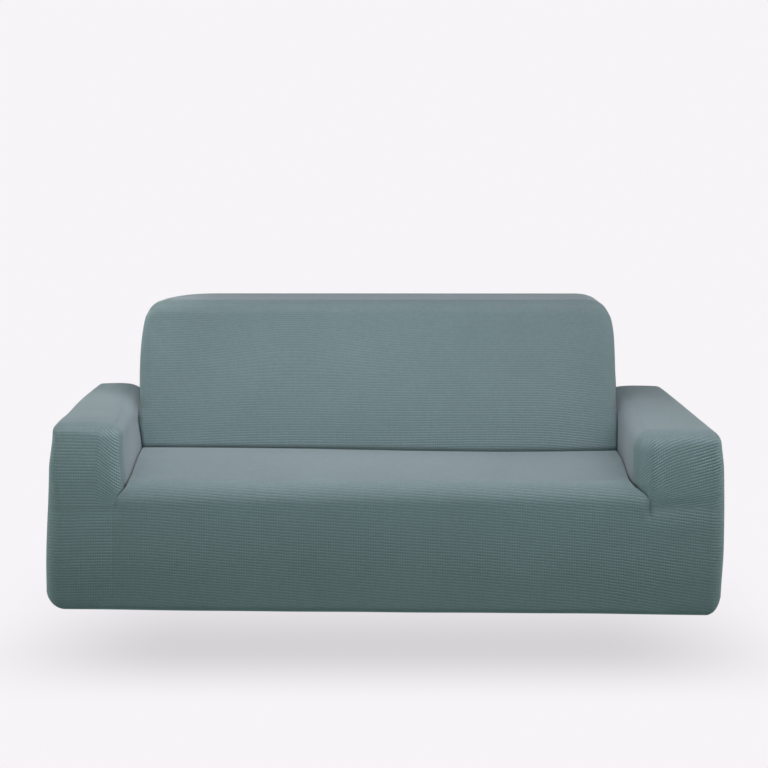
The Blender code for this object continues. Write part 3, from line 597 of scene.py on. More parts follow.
        # weave
        u = x.copy()
        flat_u = np.where(flank & (kind in ("rear", "seat", "edge")), side_of * (TUCK_R * 0 + ln - np.where(flank, TUCK_R + GROOVE - go, 0)), 0.0)
        u = u + flat_u
        z_top = SEAT_Z - SEAT_R
        if kind == "front":
            v = zz2
        elif kind == "hem":
            v = np.full(cols_n, hem_r - hem_r * t)
        elif kind == "flap":
            v = hem_r - hem_r * 0.5 * math.pi - (yy2 - Y_FRONT - hem_r)
        elif kind == "edge":
            v = np.full(cols_n, z_top + SEAT_R * (0.5 * math.pi - t))
        else:
            v = z_top + edge_len + (yy - top_edge) + (d_rear if kind == "rear" else 0.0)
        at_z = zz2 if kind in ("front", "hem") else np.full(cols_n, 0.0 if kind == "flap" else 0.25)
        uv[r, :, 0], uv[r, :, 1] = u, v - row_rise(x, np.clip(at_z, 0.0, 0.25))
        if depth == 0.0 or (kind == "edge" and t > math.radians(72)):
            alive[r] = ~(np.abs(off_of) > 6)
    idx = np.arange(rows_n * cols_n).reshape(rows_n, cols_n)
    cells, fuv = [], []
    quads = np.stack([idx[:-1, :-1], idx[1:, :-1], idx[1:, 1:], idx[:-1, 1:]], axis=-1).reshape(-1, 4)
    ok = (alive[:-1, :-1] & alive[1:, :-1] & alive[1:, 1:] & alive[:-1, 1:]).reshape(-1)
    quads = quads[ok]
    pts = p.reshape(-1, 3)
    uvf = uv.reshape(-1, 2)
    kinds = np.repeat(np.array([1.0 if r[0] in ("front", "hem", "flap") else 0.55 if r[0] == "edge" else 0.4 for r in rows]), cols_n)
    ang = np.repeat(np.array([r[1] / (0.5 * math.pi) if r[0] == "edge" else (1.0 if r[0] in ("front", "hem", "flap") else 0.0) for r in rows]), cols_n)
    height = pts[:, 2]
    loft = mix(0.25, 0.47, smooth(ang * 1.5 - 0.25)) * mix(0.45, 1.0, smooth((height - 0.03) / 0.13))
    loft = loft * mix(1.0, 1.40, smooth((pts[:, 0] - 0.06) / 0.34) * smooth(ang))
    # drop collapsed faces
    q = pts[quads]
    area = np.linalg.norm(np.cross(q[:, 2] - q[:, 0], q[:, 3] - q[:, 1]), axis=1) * 0.5
    quads = quads[area > 2e-9]
    return pts, quads, uvf[quads], loft, sunk_shade.reshape(-1)


# ---------------------------------------------------------------- backrest, inside
def round_outline(p):
    """Rounds the backrest's two top corners, seen from the front, to the outline of a drawn-out circle."""
    r0 = mix(BACK_TOP_R, REAR_R, smooth((p[:, 1] - 0.22) / 0.14))
    deep = smooth((p[:, 1] - 0.19) / 0.19)
    for side, (at_front, at_rear) in BACK_CORNER.items():
        s = SIGN[side]
        w, h, power = (mix(f, r, deep) for f, r in zip(at_front, at_rear))
        a = np.maximum(s * p[:, 0] - (BACK_SIDE[side] - w), 0.0)
        b = np.maximum(p[:, 2] - (BACK_TOP - h), 0.0)
        both = (a > 1e-6) & (b > 1e-6)
        a1, b1 = np.where(both, a, 1.0), np.where(both, b, 1.0)
        # where a line through the point meets the small round corner that it starts from
        ca, cb = w - r0, h - r0
        dot, square = a1 * ca + b1 * cb, a1 * a1 + b1 * b1
        root = np.sqrt(np.maximum(dot * dot - square * (ca * ca + cb * cb - r0 * r0), 0.0))
        on_arc = (dot + root) / square
        straight = np.minimum(w / a1, h / b1)
        on_round = (on_arc * a1 > ca) & (on_arc * b1 > cb)
        t = np.where(on_round, on_arc, straight)
        i, j = t * a1 / w, t * b1 / h
        shrink = np.where(both, 1.0 / (i ** power + j ** power) ** (1.0 / power), 1.0)
        p[:, 0] += s * a * (shrink - 1.0)
        p[:, 2] += b * (shrink - 1.0)
    return p


def inside_back_points():
    left, right = ARMS["left"]["inner_b"], ARMS["right"]["inner_b"]
    lo = (-left, Y_FRONT + SEAT_DEPTH, SEAT_Z - TUCK)
    hi = (right, Y_REAR, BACK_TOP)
    rim = ZONE + RIM
    wall_y = Y_FRONT + SEAT_DEPTH + 0.06
    inset = [0.0, 0.0015, 0.003, 0.006]
    xs = lines(zone_lines(lo[0], hi[0]) + spread(lo[0] + ZONE, hi[0] - ZONE, STEP) + [lo[0] + rim - d for d in inset] + [hi[0] - rim + d for d in inset] + [lo[0], hi[0]])
    ys = lines(zone_lines(lo[1], hi[1]) + spread(lo[1] + ZONE, hi[1] - ZONE, STEP) + [wall_y, lo[1], hi[1]])
    t = [math.tan(math.radians(45.0 * k / ARC_STEPS)) for k in range(ARC_STEPS + 1)]
    zs = lines([hi[2] - ZONE * (1.0 - v) for v in t] + spread(lo[2], hi[2] - ZONE, STEP) + [SEAT_Z - 0.010 + 0.0035 * k for k in range(9)] + [RIM_Z, RIM_Z + 0.003, RIM_Z + 0.006, RIM_Z + 0.012] + [hi[2] - rim + d for d in inset] + [hi[2]])
    snap = lambda arr, v: arr[np.argmin(np.abs(arr - v))]
    xl, xr, zr = snap(xs, lo[0] + rim), snap(xs, hi[0] - rim), snap(zs, hi[2] - rim)
    wall, rim_z = snap(ys, wall_y), snap(zs, RIM_Z)

    def keep(axis, end, c):
        if axis == 1 and end == 1:
            return (c[:, 2] > rim_z) & ~((xl < c[:, 0]) & (c[:, 0] < xr) & (c[:, 2] < zr))
        if axis == 0:
            return (c[:, 1] < wall) | (c[:, 2] > rim_z)
        if axis == 2 and end == 0:
            return np.zeros(len(c), bool)
        return np.ones(len(c), bool)

    c, quads, sides = cage(xs, ys, zs, keep)
    n = np.stack([zone(c[:, 0], lo[0], hi[0]), zone(c[:, 1], lo[1], hi[1]),
                  np.maximum(0.0, zone(c[:, 2], lo[2] - 1.0, hi[2]))], axis=1)
    z = c[:, 2]
    rear_fade = smooth((z - RIM_Z - 0.012) / 0.060) + 1e-4
    rear_r = np.where(np.abs(n[:, 0]) > 0, REAR_R * rear_fade, REAR_R)
    # the edges are drawn rounder towards the top, where the cloth is stretched over the corner
    front_r = mix(BACK_EDGE_R, BACK_TOP_R, smooth((z - 0.46) / 0.2))
    front_r = mix(BACK_LOW_R, front_r, smooth((z - 0.385) / 0.075))
    r_y = np.where(n[:, 1] < 0, np.where(n[:, 2] > 0, BACK_TOP_R, front_r), rear_r)
    r_x = np.where(n[:, 1] > 0, REAR_R * rear_fade, front_r)
    r_z = mix(BACK_TOP_R, REAR_R, smooth((c[:, 1] - 0.15) / 0.20))
    top_front = back_front_y(z)
    y_flat = mix(top_front + BACK_TOP_R, Y_REAR - rear_r, flat_part(c[:, 1], lo[1], hi[1]))
    y_core = np.where(n[:, 1] < 0, top_front + r_y, np.where(n[:, 1] > 0, Y_REAR - r_y, y_flat))
    out_l = arm_inner("left", y_core, z) - TUCK_GAP
    out_r = arm_inner("right", y_core, z) - TUCK_GAP
    mid = (c[:, 0] - lo[0] - ZONE) / (hi[0] - lo[0] - 2 * ZONE)
    # the flat between the rounded edges takes up the difference to the cage near its ends
    reach = mix(0.16, 0.029, smooth((c[:, 1] - 0.15) / 0.20))
    to_left = 1.0 - clamp01((c[:, 0] - lo[0] - ZONE) / reach)
    to_right = 1.0 - clamp01((hi[0] - ZONE - c[:, 0]) / reach)
    flat_x = c[:, 0] + to_left * (-out_l + r_x - lo[0] - ZONE) + to_right * (out_r - r_x - hi[0] + ZONE)
    x_core = np.where(n[:, 0] < 0, -out_l + r_x, np.where(n[:, 0] > 0, out_r - r_x, flat_x))
    up_gap = clamp01((z - (hi[2] - 0.14)) / (0.14 - ZONE))
    z_core = np.where(n[:, 2] > 0, BACK_TOP - r_z, z + up_gap * (ZONE - r_z) * (n[:, 1] < 0))
    core = np.stack([x_core, y_core, z_core], axis=1)
    length = np.maximum(np.sqrt((n ** 2).sum(axis=1, keepdims=True)), 1e-9)
    radius = np.stack([r_x, r_y, r_z], axis=1)
    p = core + radius * n / length
    up_t = clamp01((z - SEAT_Z) / (BACK_TOP - SEAT_Z))
    crown = np.sin(np.pi * clamp01(mid)) ** 0.6 * np.sin(np.pi * up_t) ** 0.8
    p[:, 1] -= BACK_CROWN * crown * smooth((-n[:, 1] - 0.9) / 0.1) * (1.0 - smooth(np.abs(n[:, 0]) / 0.3))
    p = round_outline(p)

    # the weave: rows run level across the front, on over the top and down the rear edge, and level round the sides
    nx, ny, nz = np.abs(n[:, 0]), np.abs(n[:, 1]), n[:, 2]
    half = 0.5 * math.pi
    lean = 0.10 * BACK_LEAN * up_t ** 1.15
    deep = np.maximum(y_core - (top_front + r_y), 0.0) * (n[:, 1] >= 0)
    over = np.arctan2(np.maximum(nz, 0.0), np.where(nz > 0, -n[:, 1], 1.0))
    v_front = p[:, 2] + lean + np.where(nz > 0, r_z * (over - np.sin(np.minimum(over, half))) + deep, 0.0)
    v_rear = BACK_TOP + 0.30 + (BACK_TOP - p[:, 2])
    end = np.sign(n[:, 0])
    turn = np.arctan2(nx, np.maximum(ny, 1e-9))
    turn_z = np.arctan2(nx, np.maximum(nz, 1e-9))
    u_front = p[:, 0] + end * front_r * (turn - np.sin(turn)) * (ny > 0)
    u_top = p[:, 0] + end * front_r * (turn_z - np.sin(turn_z)) * (nz > 0)
    past = np.where(n[:, 1] < 0, half - np.arctan2(ny, np.maximum(nx, 1e-9)), half)
    u_side = p[:, 0] + end * (front_r * (past - np.sin(past)) + deep + np.where(n[:, 1] > 0, REAR_R * np.arctan2(ny, np.maximum(nx, 1e-9)), 0.0))
    rise_z = np.arctan2(np.maximum(nz, 0.0), np.maximum(nx, 1e-9))
    v_side = p[:, 2] + lean + r_z * (rise_z - np.sin(rise_z))
    side, top = sides[:, 0] == 0, sides[:, 0] == 2
    rear = (sides[:, 0] == 1) & (sides[:, 1] == 1)
    uv = np.zeros((len(quads), 4, 2))
    for k in range(4):
        i = quads[:, k]
        x, zz = p[i, 0], p[i, 2]
        uu = np.where(side, u_side[i], np.where(top, u_top[i], np.where(rear, x, u_front[i])))
        vv = np.where(side, v_side[i], np.where(rear, v_rear[i], v_front[i]))
        # the rows are drawn up into a low arch left of the middle, towards the top, and waver slightly
        arch = 0.026 * np.exp(-((x + 0.26) / 0.20) ** 2) * smooth((zz - 0.50) / 0.12) * (1.0 - 0.6 * smooth((zz - 0.66) / 0.08))
        sag = arch + 0.006 * np.sin(3.1 * x + 4.0 * zz) + 0.0025 * np.sin(9.0 * x - 5.0 * zz) - 0.012 * smooth((x - 0.45) / 0.25)
        # the cloth is drawn out less here than on the front: finer rows, wider columns
        uv[:, k, 0] = 0.97 * (uu + 0.008 * np.sin(6.0 * vv + 2.0 * x))
        uv[:, k, 1] = 1.08 * (vv - np.where(rear, 0.0, sag))
    x, zz = p[:, 0], p[:, 2]
    loft = mix(0.50, 0.38, smooth((zz - 0.42) / 0.2)) - 0.10 * bump_at(x, -0.05, 0.22) + 0.20 * (1.0 - smooth((zz - 0.33) / 0.06))
    loft = loft + 0.22 * np.exp(-((x + 0.62) / 0.07) ** 2) * smooth((zz - 0.5) / 0.1)
    loft = loft * (1.0 - 0.7 * smooth(nz * (1.1 - 0.6 * ny))) * (1.0 - 0.4 * smooth(nx * 1.2))
    loft = np.where(n[:, 1] > 0.5, 0.8, loft)
    # painted shade in the tucks above the seat and beside the arms: the colour is darkened there
    seat_z = seat_height(x, np.full(len(x), Y_FRONT + SEAT_DEPTH))
    low = 0.85 * (1.0 - smooth((zz - seat_z + 0.003) / 0.017))
    beside = smooth((nx - 0.86) / 0.14) * (n[:, 1] <= 0) * (1.0 - smooth((zz - SEAT_Z) / 0.13))
    return p, quads, uv, np.clip(loft, 0.1, 1.2), np.clip(np.maximum(low, 0.9 * beside), 0.0, 1.0)


# ---------------------------------------------------------------- backrest and base, outside
def outside_back_points():
    rim = ZONE + RIM
    gap = SEAM
    low_x = HALF_W - rim - gap
    left, right = ARMS["left"]["inner_b"] - rim - gap, ARMS["right"]["inner_b"] - rim - gap
    inset = [0.0, 0.0015, 0.003, 0.006]
    xs = lines(spread(-low_x, low_x, STEP * 1.2) + [-low_x + d for d in inset] + [low_x - d for d in inset]
               + [-left + d for d in inset] + [right - d for d in inset])
    ledge = RIM_Z - gap
    top_z = BACK_TOP - rim - gap
    rows = [("flap", 1.0 - k / 5) for k in range(5)] + [("hem", math.radians(90 - 9.0 * k)) for k in range(11)]
    walls = [v for v in lines(spread(0.045, ledge, STEP * 1.2) + [ledge - d for d in inset] + spread(ledge, top_z, STEP * 1.2) + [top_z - d for d in inset])]
    rows += [("wall", v) for v in walls]
    snap = lambda arr, v: int(np.argmin(np.abs(np.array(arr) - v)))
    il, ir = snap(xs, -left), snap(xs, right)
    jl = len(rows) - len(walls) + snap(walls, ledge)
    nr, nc = len(rows), len(xs)
    p = np.zeros((nr, nc, 3))
    uv = np.zeros((nr, nc, 2))
    hem_r = HEM_FRONT + 0.0 * xs
    for r, (kind, t) in enumerate(rows):
        if kind == "flap":
            y, z = Y_REAR - mix(hem_r, ZONE + HEM_FLAP, t), 0.0 * xs
            v = hem_r * (1 - 0.5 * math.pi) + (y - Y_REAR + hem_r)
        elif kind == "hem":
            y, z = Y_REAR - hem_r * (1 - math.cos(t)), hem_r * (1 - math.sin(t))
            v = hem_r - hem_r * t
        else:
            y, z = Y_REAR + 0 * xs, t + 0 * xs
            v = z
        p[r] = np.stack([xs, y, z], axis=1)
        uv[r, :, 0], uv[r, :, 1] = xs, v
    bulge = np.cos(np.pi * 0.5 * clamp01(np.abs(p[:, :, 0]) / low_x)) * np.sin(np.pi * clamp01(p[:, :, 2] / (BACK_TOP - rim)))
    inside = (1.0 - smooth((np.abs(p[:, :, 0]) - 0.5) / 0.1)) * smooth((p[:, :, 2] - 0.04) / 0.05) * smooth((BACK_TOP - rim - 0.005 - p[:, :, 2]) / 0.05)
    p[:, :, 1] += 0.004 * bulge * inside
    # seam groove along the upper and side edges
    x, z = p[:, :, 0], p[:, :, 2]
    upper = z > ledge + 1e-4
    d = np.where(upper, np.minimum(np.minimum(x + left, right - x), top_z - z),
                 np.minimum(np.minimum(x + low_x, low_x - x), np.where((x < -left) | (x > right), ledge - z, 9.0)))
    p[:, :, 1] -= 0.0022 * (1.0 - smooth(d / 0.006)) * (z > 0.05)
    idx = np.arange(nr * nc).reshape(nr, nc)
    quads = np.stack([idx[:-1, :-1], idx[1:, :-1], idx[1:, 1:], idx[:-1, 1:]], axis=-1)
    alive = np.ones((nr - 1, nc - 1), bool)
    alive[jl:, :il] = False
    alive[jl:, ir:] = False
    quads = quads[alive]
    loft = np.full(nr * nc, 0.6)
    return p.reshape(-1, 3), quads, uv.reshape(-1, 2)[quads], loft, 0.0 * loft


# ---------------------------------------------------------------- the knit
def knit_material(name, tint=(1.0, 1.0, 1.0)):
    m = bpy.data.materials.new(name)
    m.use_nodes = True
    nt = m.node_tree
    nt.nodes.clear()
    N, L = nt.nodes, nt.links

    def math_node(op, a, b=None, c=None, clamp=False):
        node = N.new("ShaderNodeMath")
        node.operation = op
        node.use_clamp = clamp
        for k, v in enumerate((a, b, c)):
            if v is None:
                continue
            if isinstance(v, (int, float)):
                node.inputs[k].default_value = v
            else:
                L.new(v, node.inputs[k])
        return node.outputs[0]

    uv = N.new("ShaderNodeUVMap")
    uv.uv_map = "knit"
    geo = N.new("ShaderNodeTexCoord")
    waver = N.new("ShaderNodeTexNoise")
    waver.inputs["Scale"].default_value = 55.0
    waver.inputs["Detail"].default_value = 1.0
    L.new(geo.outputs["Object"], waver.inputs["Vector"])
    sep = N.new("ShaderNodeSeparateXYZ")
    L.new(uv.outputs["UV"], sep.inputs[0])
    wob = math_node("MULTIPLY_ADD", waver.outputs["Fac"], 0.0022, -0.0011)
    wob2 = math_node("MULTIPLY_ADD", waver.outputs["Fac"], -0.0018, 0.0009)
    un = math_node("DIVIDE", math_node("ADD", sep.outputs["X"], wob2), COLUMN_PITCH)
    vn = math_node("DIVIDE", math_node("ADD", sep.outputs["Y"], wob), ROW_PITCH)
    fu = math_node("ABSOLUTE", math_node("MULTIPLY_ADD", math_node("FRACT", un), 2.0, -1.0))
    fv = math_node("ABSOLUTE", math_node("MULTIPLY_ADD", math_node("FRACT", vn), 2.0, -1.0))
    hu = math_node("SUBTRACT", 1.0, math_node("POWER", fu, 3.4))
    hv = math_node("SUBTRACT", 1.0, math_node("POWER", fv, 2.6))
    kernel = math_node("MULTIPLY", math_node("MULTIPLY_ADD", hu, 0.36, 0.64), hv)
    # fuzz
    fuzz = N.new("ShaderNodeTexNoise")
    fuzz.inputs["Scale"].default_value = 900.0
    fuzz.inputs["Detail"].default_value = 2.0
    fuzz.inputs["Roughness"].default_value = 0.6
    L.new(geo.outputs["Object"], fuzz.inputs["Vector"])
    loft = N.new("ShaderNodeAttribute")
    loft.attribute_name = "loft"
    height = math_node("ADD", math_node("MULTIPLY", kernel, 0.0013), math_node("MULTIPLY", fuzz.outputs["Fac"], 0.00035))
    height = math_node("MULTIPLY", height, loft.outputs["Fac"])
    bump = N.new("ShaderNodeBump")
    bump.inputs["Strength"].default_value = 1.0
    bump.inputs["Distance"].default_value = 1.0
    L.new(height, bump.inputs["Height"])
    # colour: random tone per loop of the check and in soft patches, and painted shade: the pits between the raised
    # check are painted darker than its tops
    cell = N.new("ShaderNodeTexWhiteNoise")
    cell.noise_dimensions = "2D"
    comb = N.new("ShaderNodeCombineXYZ")
    L.new(math_node("FLOOR", un), comb.inputs[0])
    L.new(math_node("FLOOR", vn), comb.inputs[1])
    L.new(comb.outputs[0], cell.inputs["Vector"])
    mottle = N.new("ShaderNodeTexNoise")
    mottle.inputs["Scale"].default_value = 7.0
    mottle.inputs["Detail"].default_value = 3.0
    L.new(geo.outputs["Object"], mottle.inputs["Vector"])
    ramp = N.new("ShaderNodeValToRGB")
    ramp.color_ramp.elements[0].position = 0.0
    ramp.color_ramp.elements[0].color = tuple(PIT_SHADE[k] * tint[k] for k in range(3)) + (1.0,)
    ramp.color_ramp.elements[1].position = 0.72
    ramp.color_ramp.elements[1].color = tuple(BASE[k] * tint[k] for k in range(3)) + (1.0,)
    mid = ramp.color_ramp.elements.new(0.38)
    mid.color = tuple(mix(PIT_SHADE[k], BASE[k], 0.66) * tint[k] for k in range(3)) + (1.0,)
    depth = math_node("MULTIPLY", math_node("SUBTRACT", 1.0, kernel), loft.outputs["Fac"])
    L.new(math_node("SUBTRACT", 1.0, depth), ramp.inputs["Fac"])
    tone = math_node("MULTIPLY_ADD", cell.outputs["Value"], 0.07, 0.965)
    tone = math_node("MULTIPLY", tone, math_node("MULTIPLY_ADD", mottle.outputs["Fac"], 0.10, 0.95))
    tone = math_node("MULTIPLY", tone, math_node("MULTIPLY_ADD", fuzz.outputs["Fac"], 0.16, 0.92))
    # where the check stands high its tops catch more light
    raised = math_node("MAXIMUM", math_node("SUBTRACT", loft.outputs["Fac"], 0.42), 0.0)
    tone = math_node("MULTIPLY", tone, math_node("MULTIPLY_ADD", raised, 0.45, 1.0))
    # painted shade: the colour is darkened in the tucks and at the notches, as far as the crease attribute says
    painted_shade = N.new("ShaderNodeAttribute")
    painted_shade.attribute_name = "crease_shade"
    tone = math_node("MULTIPLY", tone, math_node("MULTIPLY_ADD", painted_shade.outputs["Fac"], -0.78, 1.0))
    scale = N.new("ShaderNodeVectorMath")
    scale.operation = "SCALE"
    L.new(ramp.outputs["Color"], scale.inputs[0])
    L.new(tone, scale.inputs["Scale"])
    shader = N.new("ShaderNodeBsdfPrincipled")
    L.new(scale.outputs[0], shader.inputs["Base Color"])
    L.new(bump.outputs["Normal"], shader.inputs["Normal"])
    shader.inputs["Roughness"].default_value = 0.92
    shader.inputs["Specular IOR Level"].default_value = 0.15
    shader.inputs["Sheen Weight"].default_value = SHEEN
    shader.inputs["Sheen Roughness"].default_value = 0.45
    shader.inputs["Sheen Tint"].default_value = (*SHEEN_TINT, 1.0)
    out = N.new("ShaderNodeOutputMaterial")
    L.new(shader.outputs[0], out.inputs["Surface"])
    return m


BASE = (0.175, 0.245, 0.250)
# the colour in the deepest pits of the check: painted shade in the grooves
PIT_SHADE = (0.060, 0.095, 0.098)
SHEEN, SHEEN_TINT = 0.32, (0.90, 0.93, 1.0)

# ---------------------------------------------------------------- the panels
PANELS = (
    ("seat_front_cloth", "seat_front", "seat_knit", seat_points, (), (1.34, 0.98), ("inside_back_cloth",)),
    ("arm_left_cloth", "arm_left", "arm_left_knit", arm_points, ("left",), (1.30, 1.10), ("seat_front_cloth",)),
    ("arm_right_cloth", "arm_right", "arm_right_knit", arm_points, ("right",), (1.30, 1.10), ("seat_front_cloth",)),
    ("inside_back_cloth", "inside_back", "inside_back_knit", inside_back_points, (), (1.75, 0.95), ("seat_front_cloth",)),
    ("outside_back_cloth", "outside_back", "outside_back_knit", outside_back_points, (), (1.57, 0.72), ("inside_back_cloth",)),
)


MIDDLE = {"seat_front": (0.0, 0.1, 0.15), "arm_left": (-0.77, 0.0, 0.2), "arm_right": (0.77, 0.0, 0.2),
          "inside_back": (0.0, 0.3, 0.5), "outside_back": (0.0, 0.2, 0.3)}


def soft_folds(p, quads):
    """Low, soft unevenness that the panels share: it depends on the place alone, so that seams still meet."""
    p = p.copy()
    x, y, z = p[:, 0], p[:, 1].copy(), p[:, 2]
    front = 1.0 - smooth((y - Y_FRONT - 0.004) / 0.050)
    d = 0.0010 * np.sin(9.0 * x + 2.0 * z) * np.sin(13.0 * z + 1.0) + 0.0007 * np.sin(21.0 * x - 8.0 * z)
    # below the right notch the front is pulled in beside the seat's corner, and a soft hollow runs on across the arm
    pulled = bump_at(x, 0.6612, 0.0075) * smooth((z - 0.232) / 0.030)
    corner = bump_at(x, 0.634, 0.020) * bump_at(z, 0.275, 0.020)
    hollow = smooth((x - 0.655) / 0.035) * (1.0 - 0.7 * smooth((x - 0.74) / 0.09)) * bump_at(z, 0.272 + 0.05 * (x - 0.66), 0.016)
    swell = smooth((x - 0.655) / 0.040) * bump_at(z, 0.225, 0.026)
    d = d - 0.0050 * pulled + 0.0022 * corner - 0.0034 * hollow + 0.0018 * swell
    # at the left notch the drag lines end in a shallow hollow
    d = d - 0.0022 * bump_at(x, -0.672, 0.026) * bump_at(z, 0.262, 0.016)
    p[:, 1] -= front * d
    return p


made = {}
for name, node, slot, rule, args, flat, beside in PANELS:
    points, quads, uv, loft, crease_shade = rule(*args)
    points = uneven(points)
    x, y, z = points.T
    # painted shade: thin dark lines at the notches' corners, added to the crease shade
    corner = (0.50 * bump_at(x, 0.6612, 0.0036) * smooth((z - 0.238) / 0.025) * (1.0 - smooth((z - 0.283) / 0.012))
              + 0.25 * bump_at(x - 0.35 * (z - 0.28), -0.6715, 0.0035) * smooth((z - 0.270) / 0.010) * (1.0 - smooth((z - 0.288) / 0.008)))
    crease_shade = np.maximum(crease_shade, corner * (y < Y_FRONT + 0.03))
    points = soft_folds(points, quads)
    obj = cloth(name, points + SHIFT, quads, uv, loft, crease_shade, knit_material(name.replace("_cloth", "_check")), MIDDLE[node])
    made[name] = obj
    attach(obj, "root")
    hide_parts(node)
for name, node, slot, rule, args, flat, beside in PANELS:
    mesh = made[name].data

# ---------------------------------------------------------------- stage, light and camera
FLOOR_Z = -0.10
PAPER = (0.930, 0.905, 0.930)
mesh = bpy.data.meshes.new("floor")
ring = [(6.0 * math.cos(2 * math.pi * k / 96), 6.0 * math.sin(2 * math.pi * k / 96), FLOOR_Z) for k in range(96)]
mesh.from_pydata(ring, [], [tuple(range(96))])
floor = bpy.data.objects.new("floor", mesh)
bpy.context.scene.collection.objects.link(floor)
fm = bpy.data.materials.new("floor_paper")
fm.use_nodes = True
nt = fm.node_tree
nt.nodes.clear()
# evenly glowing paper with one wide soft shadow painted into its colour, deepest under the cover's front edge
place = nt.nodes.new("ShaderNodeTexCoord")
spot = nt.nodes.new("ShaderNodeSeparateXYZ")
nt.links.new(place.outputs["Object"], spot.inputs[0])


def fade(value, start, end, from_value, to_value):
    node = nt.nodes.new("ShaderNodeMapRange")
    node.interpolation_type = "SMOOTHSTEP"
    for key, number in (("From Min", start), ("From Max", end), ("To Min", from_value), ("To Max", to_value)):
        node.inputs[key].default_value = number
    nt.links.new(value, node.inputs["Value"])
    return node.outputs["Result"]


def floor_math(op, a, b=None):
    node = nt.nodes.new("ShaderNodeMath")
    node.operation = op
    for k, v in enumerate((a, b)):
        if isinstance(v, float):
            node.inputs[k].default_value = v
        elif v is not None:
            nt.links.new(v, node.inputs[k])
    return node.outputs[0]


shade = floor_math("MULTIPLY", fade(spot.outputs["Y"], -0.78, -0.36, 0.0, 1.0), fade(spot.outputs["Y"], -0.33, 0.07, 1.0, 0.55))
shade = floor_math("MULTIPLY", shade, fade(spot.outputs["Y"], 0.20, 0.75, 1.0, 0.0))
off_middle = floor_math("ABSOLUTE", floor_math("SUBTRACT", spot.outputs["X"], 0.012))
shade = floor_math("MULTIPLY", shade, fade(off_middle, 0.52, 1.16, 0.287, 0.0))
ramp = nt.nodes.new("ShaderNodeMix")
ramp.data_type = "RGBA"
ramp.inputs[6].default_value = (*PAPER, 1.0)
ramp.inputs[7].default_value = (0.0, 0.0, 0.0, 1.0)
nt.links.new(shade, ramp.inputs[0])
glow = nt.nodes.new("ShaderNodeEmission")
glow.inputs["Strength"].default_value = 1.0
nt.links.new(ramp.outputs[2], glow.inputs["Color"])
out = nt.nodes.new("ShaderNodeOutputMaterial")
nt.links.new(glow.outputs[0], out.inputs["Surface"])
mesh.materials.append(fm)
floor.visible_diffuse = False
floor.visible_glossy = False

# LIGHTS BEGIN
world = bpy.data.worlds.new("studio")
bpy.context.scene.world = world
world.use_nodes = True
wt = world.node_tree
wt.nodes.clear()
seen = wt.nodes.new("ShaderNodeBackground")
seen.inputs["Color"].default_value = (*PAPER, 1.0)
seen.inputs["Strength"].default_value = 1.0
fill = wt.nodes.new("ShaderNodeBackground")      # light thrown back by the pale floor: only from below the horizon
fill.inputs["Color"].default_value = (0.80, 1.0, 0.94, 1.0)
where = wt.nodes.new("ShaderNodeTexCoord")
axes = wt.nodes.new("ShaderNodeSeparateXYZ")
below = wt.nodes.new("ShaderNodeMapRange")
below.inputs["From Min"].default_value = -1.0
below.inputs["From Max"].default_value = 0.0
below.inputs["To Min"].default_value = 0.89
below.inputs["To Max"].default_value = 0.0
wt.links.new(where.outputs["Generated"], axes.inputs[0])
wt.links.new(axes.outputs["Z"], below.inputs["Value"])
wt.links.new(below.outputs["Result"], fill.inputs["Strength"])
path = wt.nodes.new("ShaderNodeLightPath")
pick = wt.nodes.new("ShaderNodeMixShader")
wt.links.new(path.outputs["Is Camera Ray"], pick.inputs["Fac"])
wt.links.new(fill.outputs[0], pick.inputs[1])
wt.links.new(seen.outputs[0], pick.inputs[2])
wout = wt.nodes.new("ShaderNodeOutputWorld")
wt.links.new(pick.outputs[0], wout.inputs["Surface"])

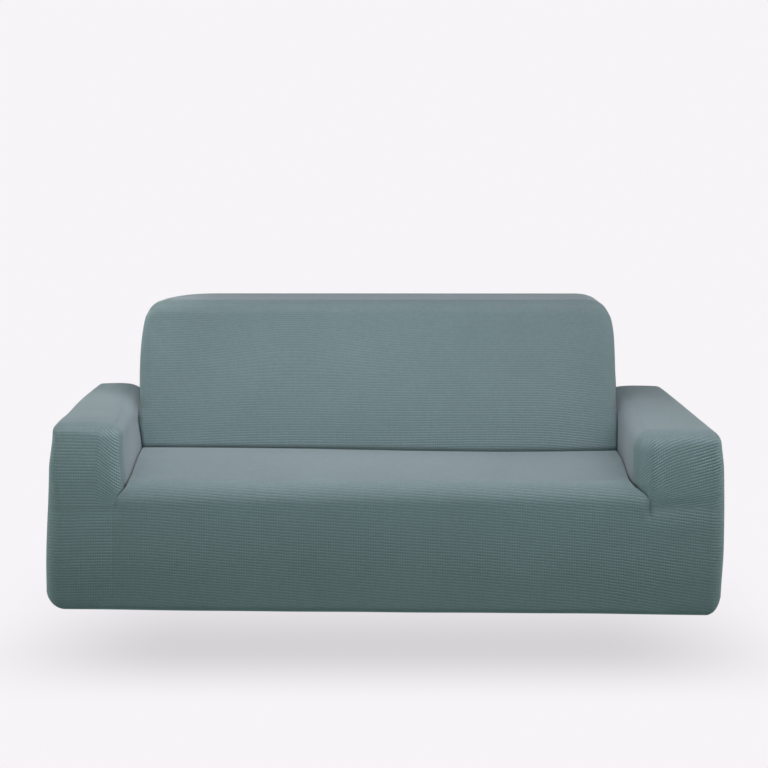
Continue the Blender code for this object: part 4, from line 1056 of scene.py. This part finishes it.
# soft boxes: place, aim, width, height, spread in degrees, watts, colour
SOFT_BOXES = (
    ("near_top", (0.0, -1.1, 1.25), (0.0, -0.3, 0.25), 2.6, 0.5, 180, 12.6, (0.97, 0.98, 1.0)),
    ("over_middle", (0.0, 0.25, 2.3), (0.0, 0.25, 0.3), 3.2, 1.2, 180, 8.0, (1.0, 0.93, 0.99)),
    ("over_rear", (0.0, 0.75, 2.3), (0.0, -0.15, 0.3), 2.6, 0.6, 180, 1.8, (0.80, 1.0, 0.95)),
    ("seat_top", (0.0, -0.2, 1.9), (0.0, -0.15, 0.3), 1.4, 0.3, 40, 0.92, (1.0, 0.80, 0.84)),
    ("back_front", (0.0, -1.7, 1.1), (0.0, 0.12, 0.56), 1.3, 0.25, 40, 0.42, (0.82, 0.91, 1.0)),
    ("inner_left", (0.4, -0.4, 1.6), (-0.66, -0.1, 0.40), 0.5, 0.5, 50, 0.28, (1.0, 0.95, 0.98)),
    ("left_rear", (-0.78, 0.34, 1.7), (-0.73, 0.20, 0.46), 0.3, 0.3, 35, 0.27, (1.0, 0.93, 0.93)),
    ("front_high", (0.0, -3.0, 2.8), (0.0, 0.0, 0.3), 3.2, 1.6, 180, 9.6, (0.75, 1.0, 0.95)),
    ("left_top", (-1.6, -0.9, 2.0), (0.0, -0.2, 0.3), 1.2, 1.2, 180, 6.6, (1.0, 0.87, 0.90)),
    ("right_top", (1.6, -0.9, 2.0), (0.0, -0.2, 0.3), 1.2, 1.2, 180, 14.4, (1.0, 0.82, 0.90)),
    ("right_front", (3.0, -2.6, 1.2), (0.0, 0.0, 0.3), 1.6, 1.6, 180, 2.8, (0.50, 1.0, 0.85)),
    ("right_side", (3.2, 0.2, 0.7), (0.0, 0.0, 0.4), 1.6, 1.2, 180, 22.0, (0.88, 1.0, 0.93)),
    ("left_side", (-3.2, 0.2, 0.7), (0.0, 0.0, 0.4), 1.6, 1.2, 180, 32.0, (0.88, 1.0, 0.97)),
)
for name, at, target, width, height, spread_angle, watts, colour in SOFT_BOXES:
    data = bpy.data.lights.new(name, "AREA")
    data.shape = "RECTANGLE"
    data.size, data.size_y = width, height
    data.spread = math.radians(spread_angle)
    data.energy = watts
    data.color = colour
    obj = bpy.data.objects.new(name, data)
    obj.location = at
    obj.rotation_euler = (Vector(target) - Vector(at)).to_track_quat("-Z", "Y").to_euler()
    bpy.context.scene.collection.objects.link(obj)

# LIGHTS END
cam_data = bpy.data.cameras.new("camera")
cam = bpy.data.objects.new("camera", cam_data)
bpy.context.scene.collection.objects.link(cam)
cam.location = (-0.0675, -4.347, 1.170)
cam.rotation_euler = (math.radians(85.5), 0.0, 0.0)
cam_data.sensor_width = 36.0
cam_data.lens = 74.81
cam_data.shift_x = 0.0339
cam_data.shift_y = -0.1424
cam_data.clip_end = 60.0
bpy.context.scene.camera = cam
bpy.context.scene.view_settings.view_transform = "Standard"
bpy.context.scene.view_settings.look = "None"
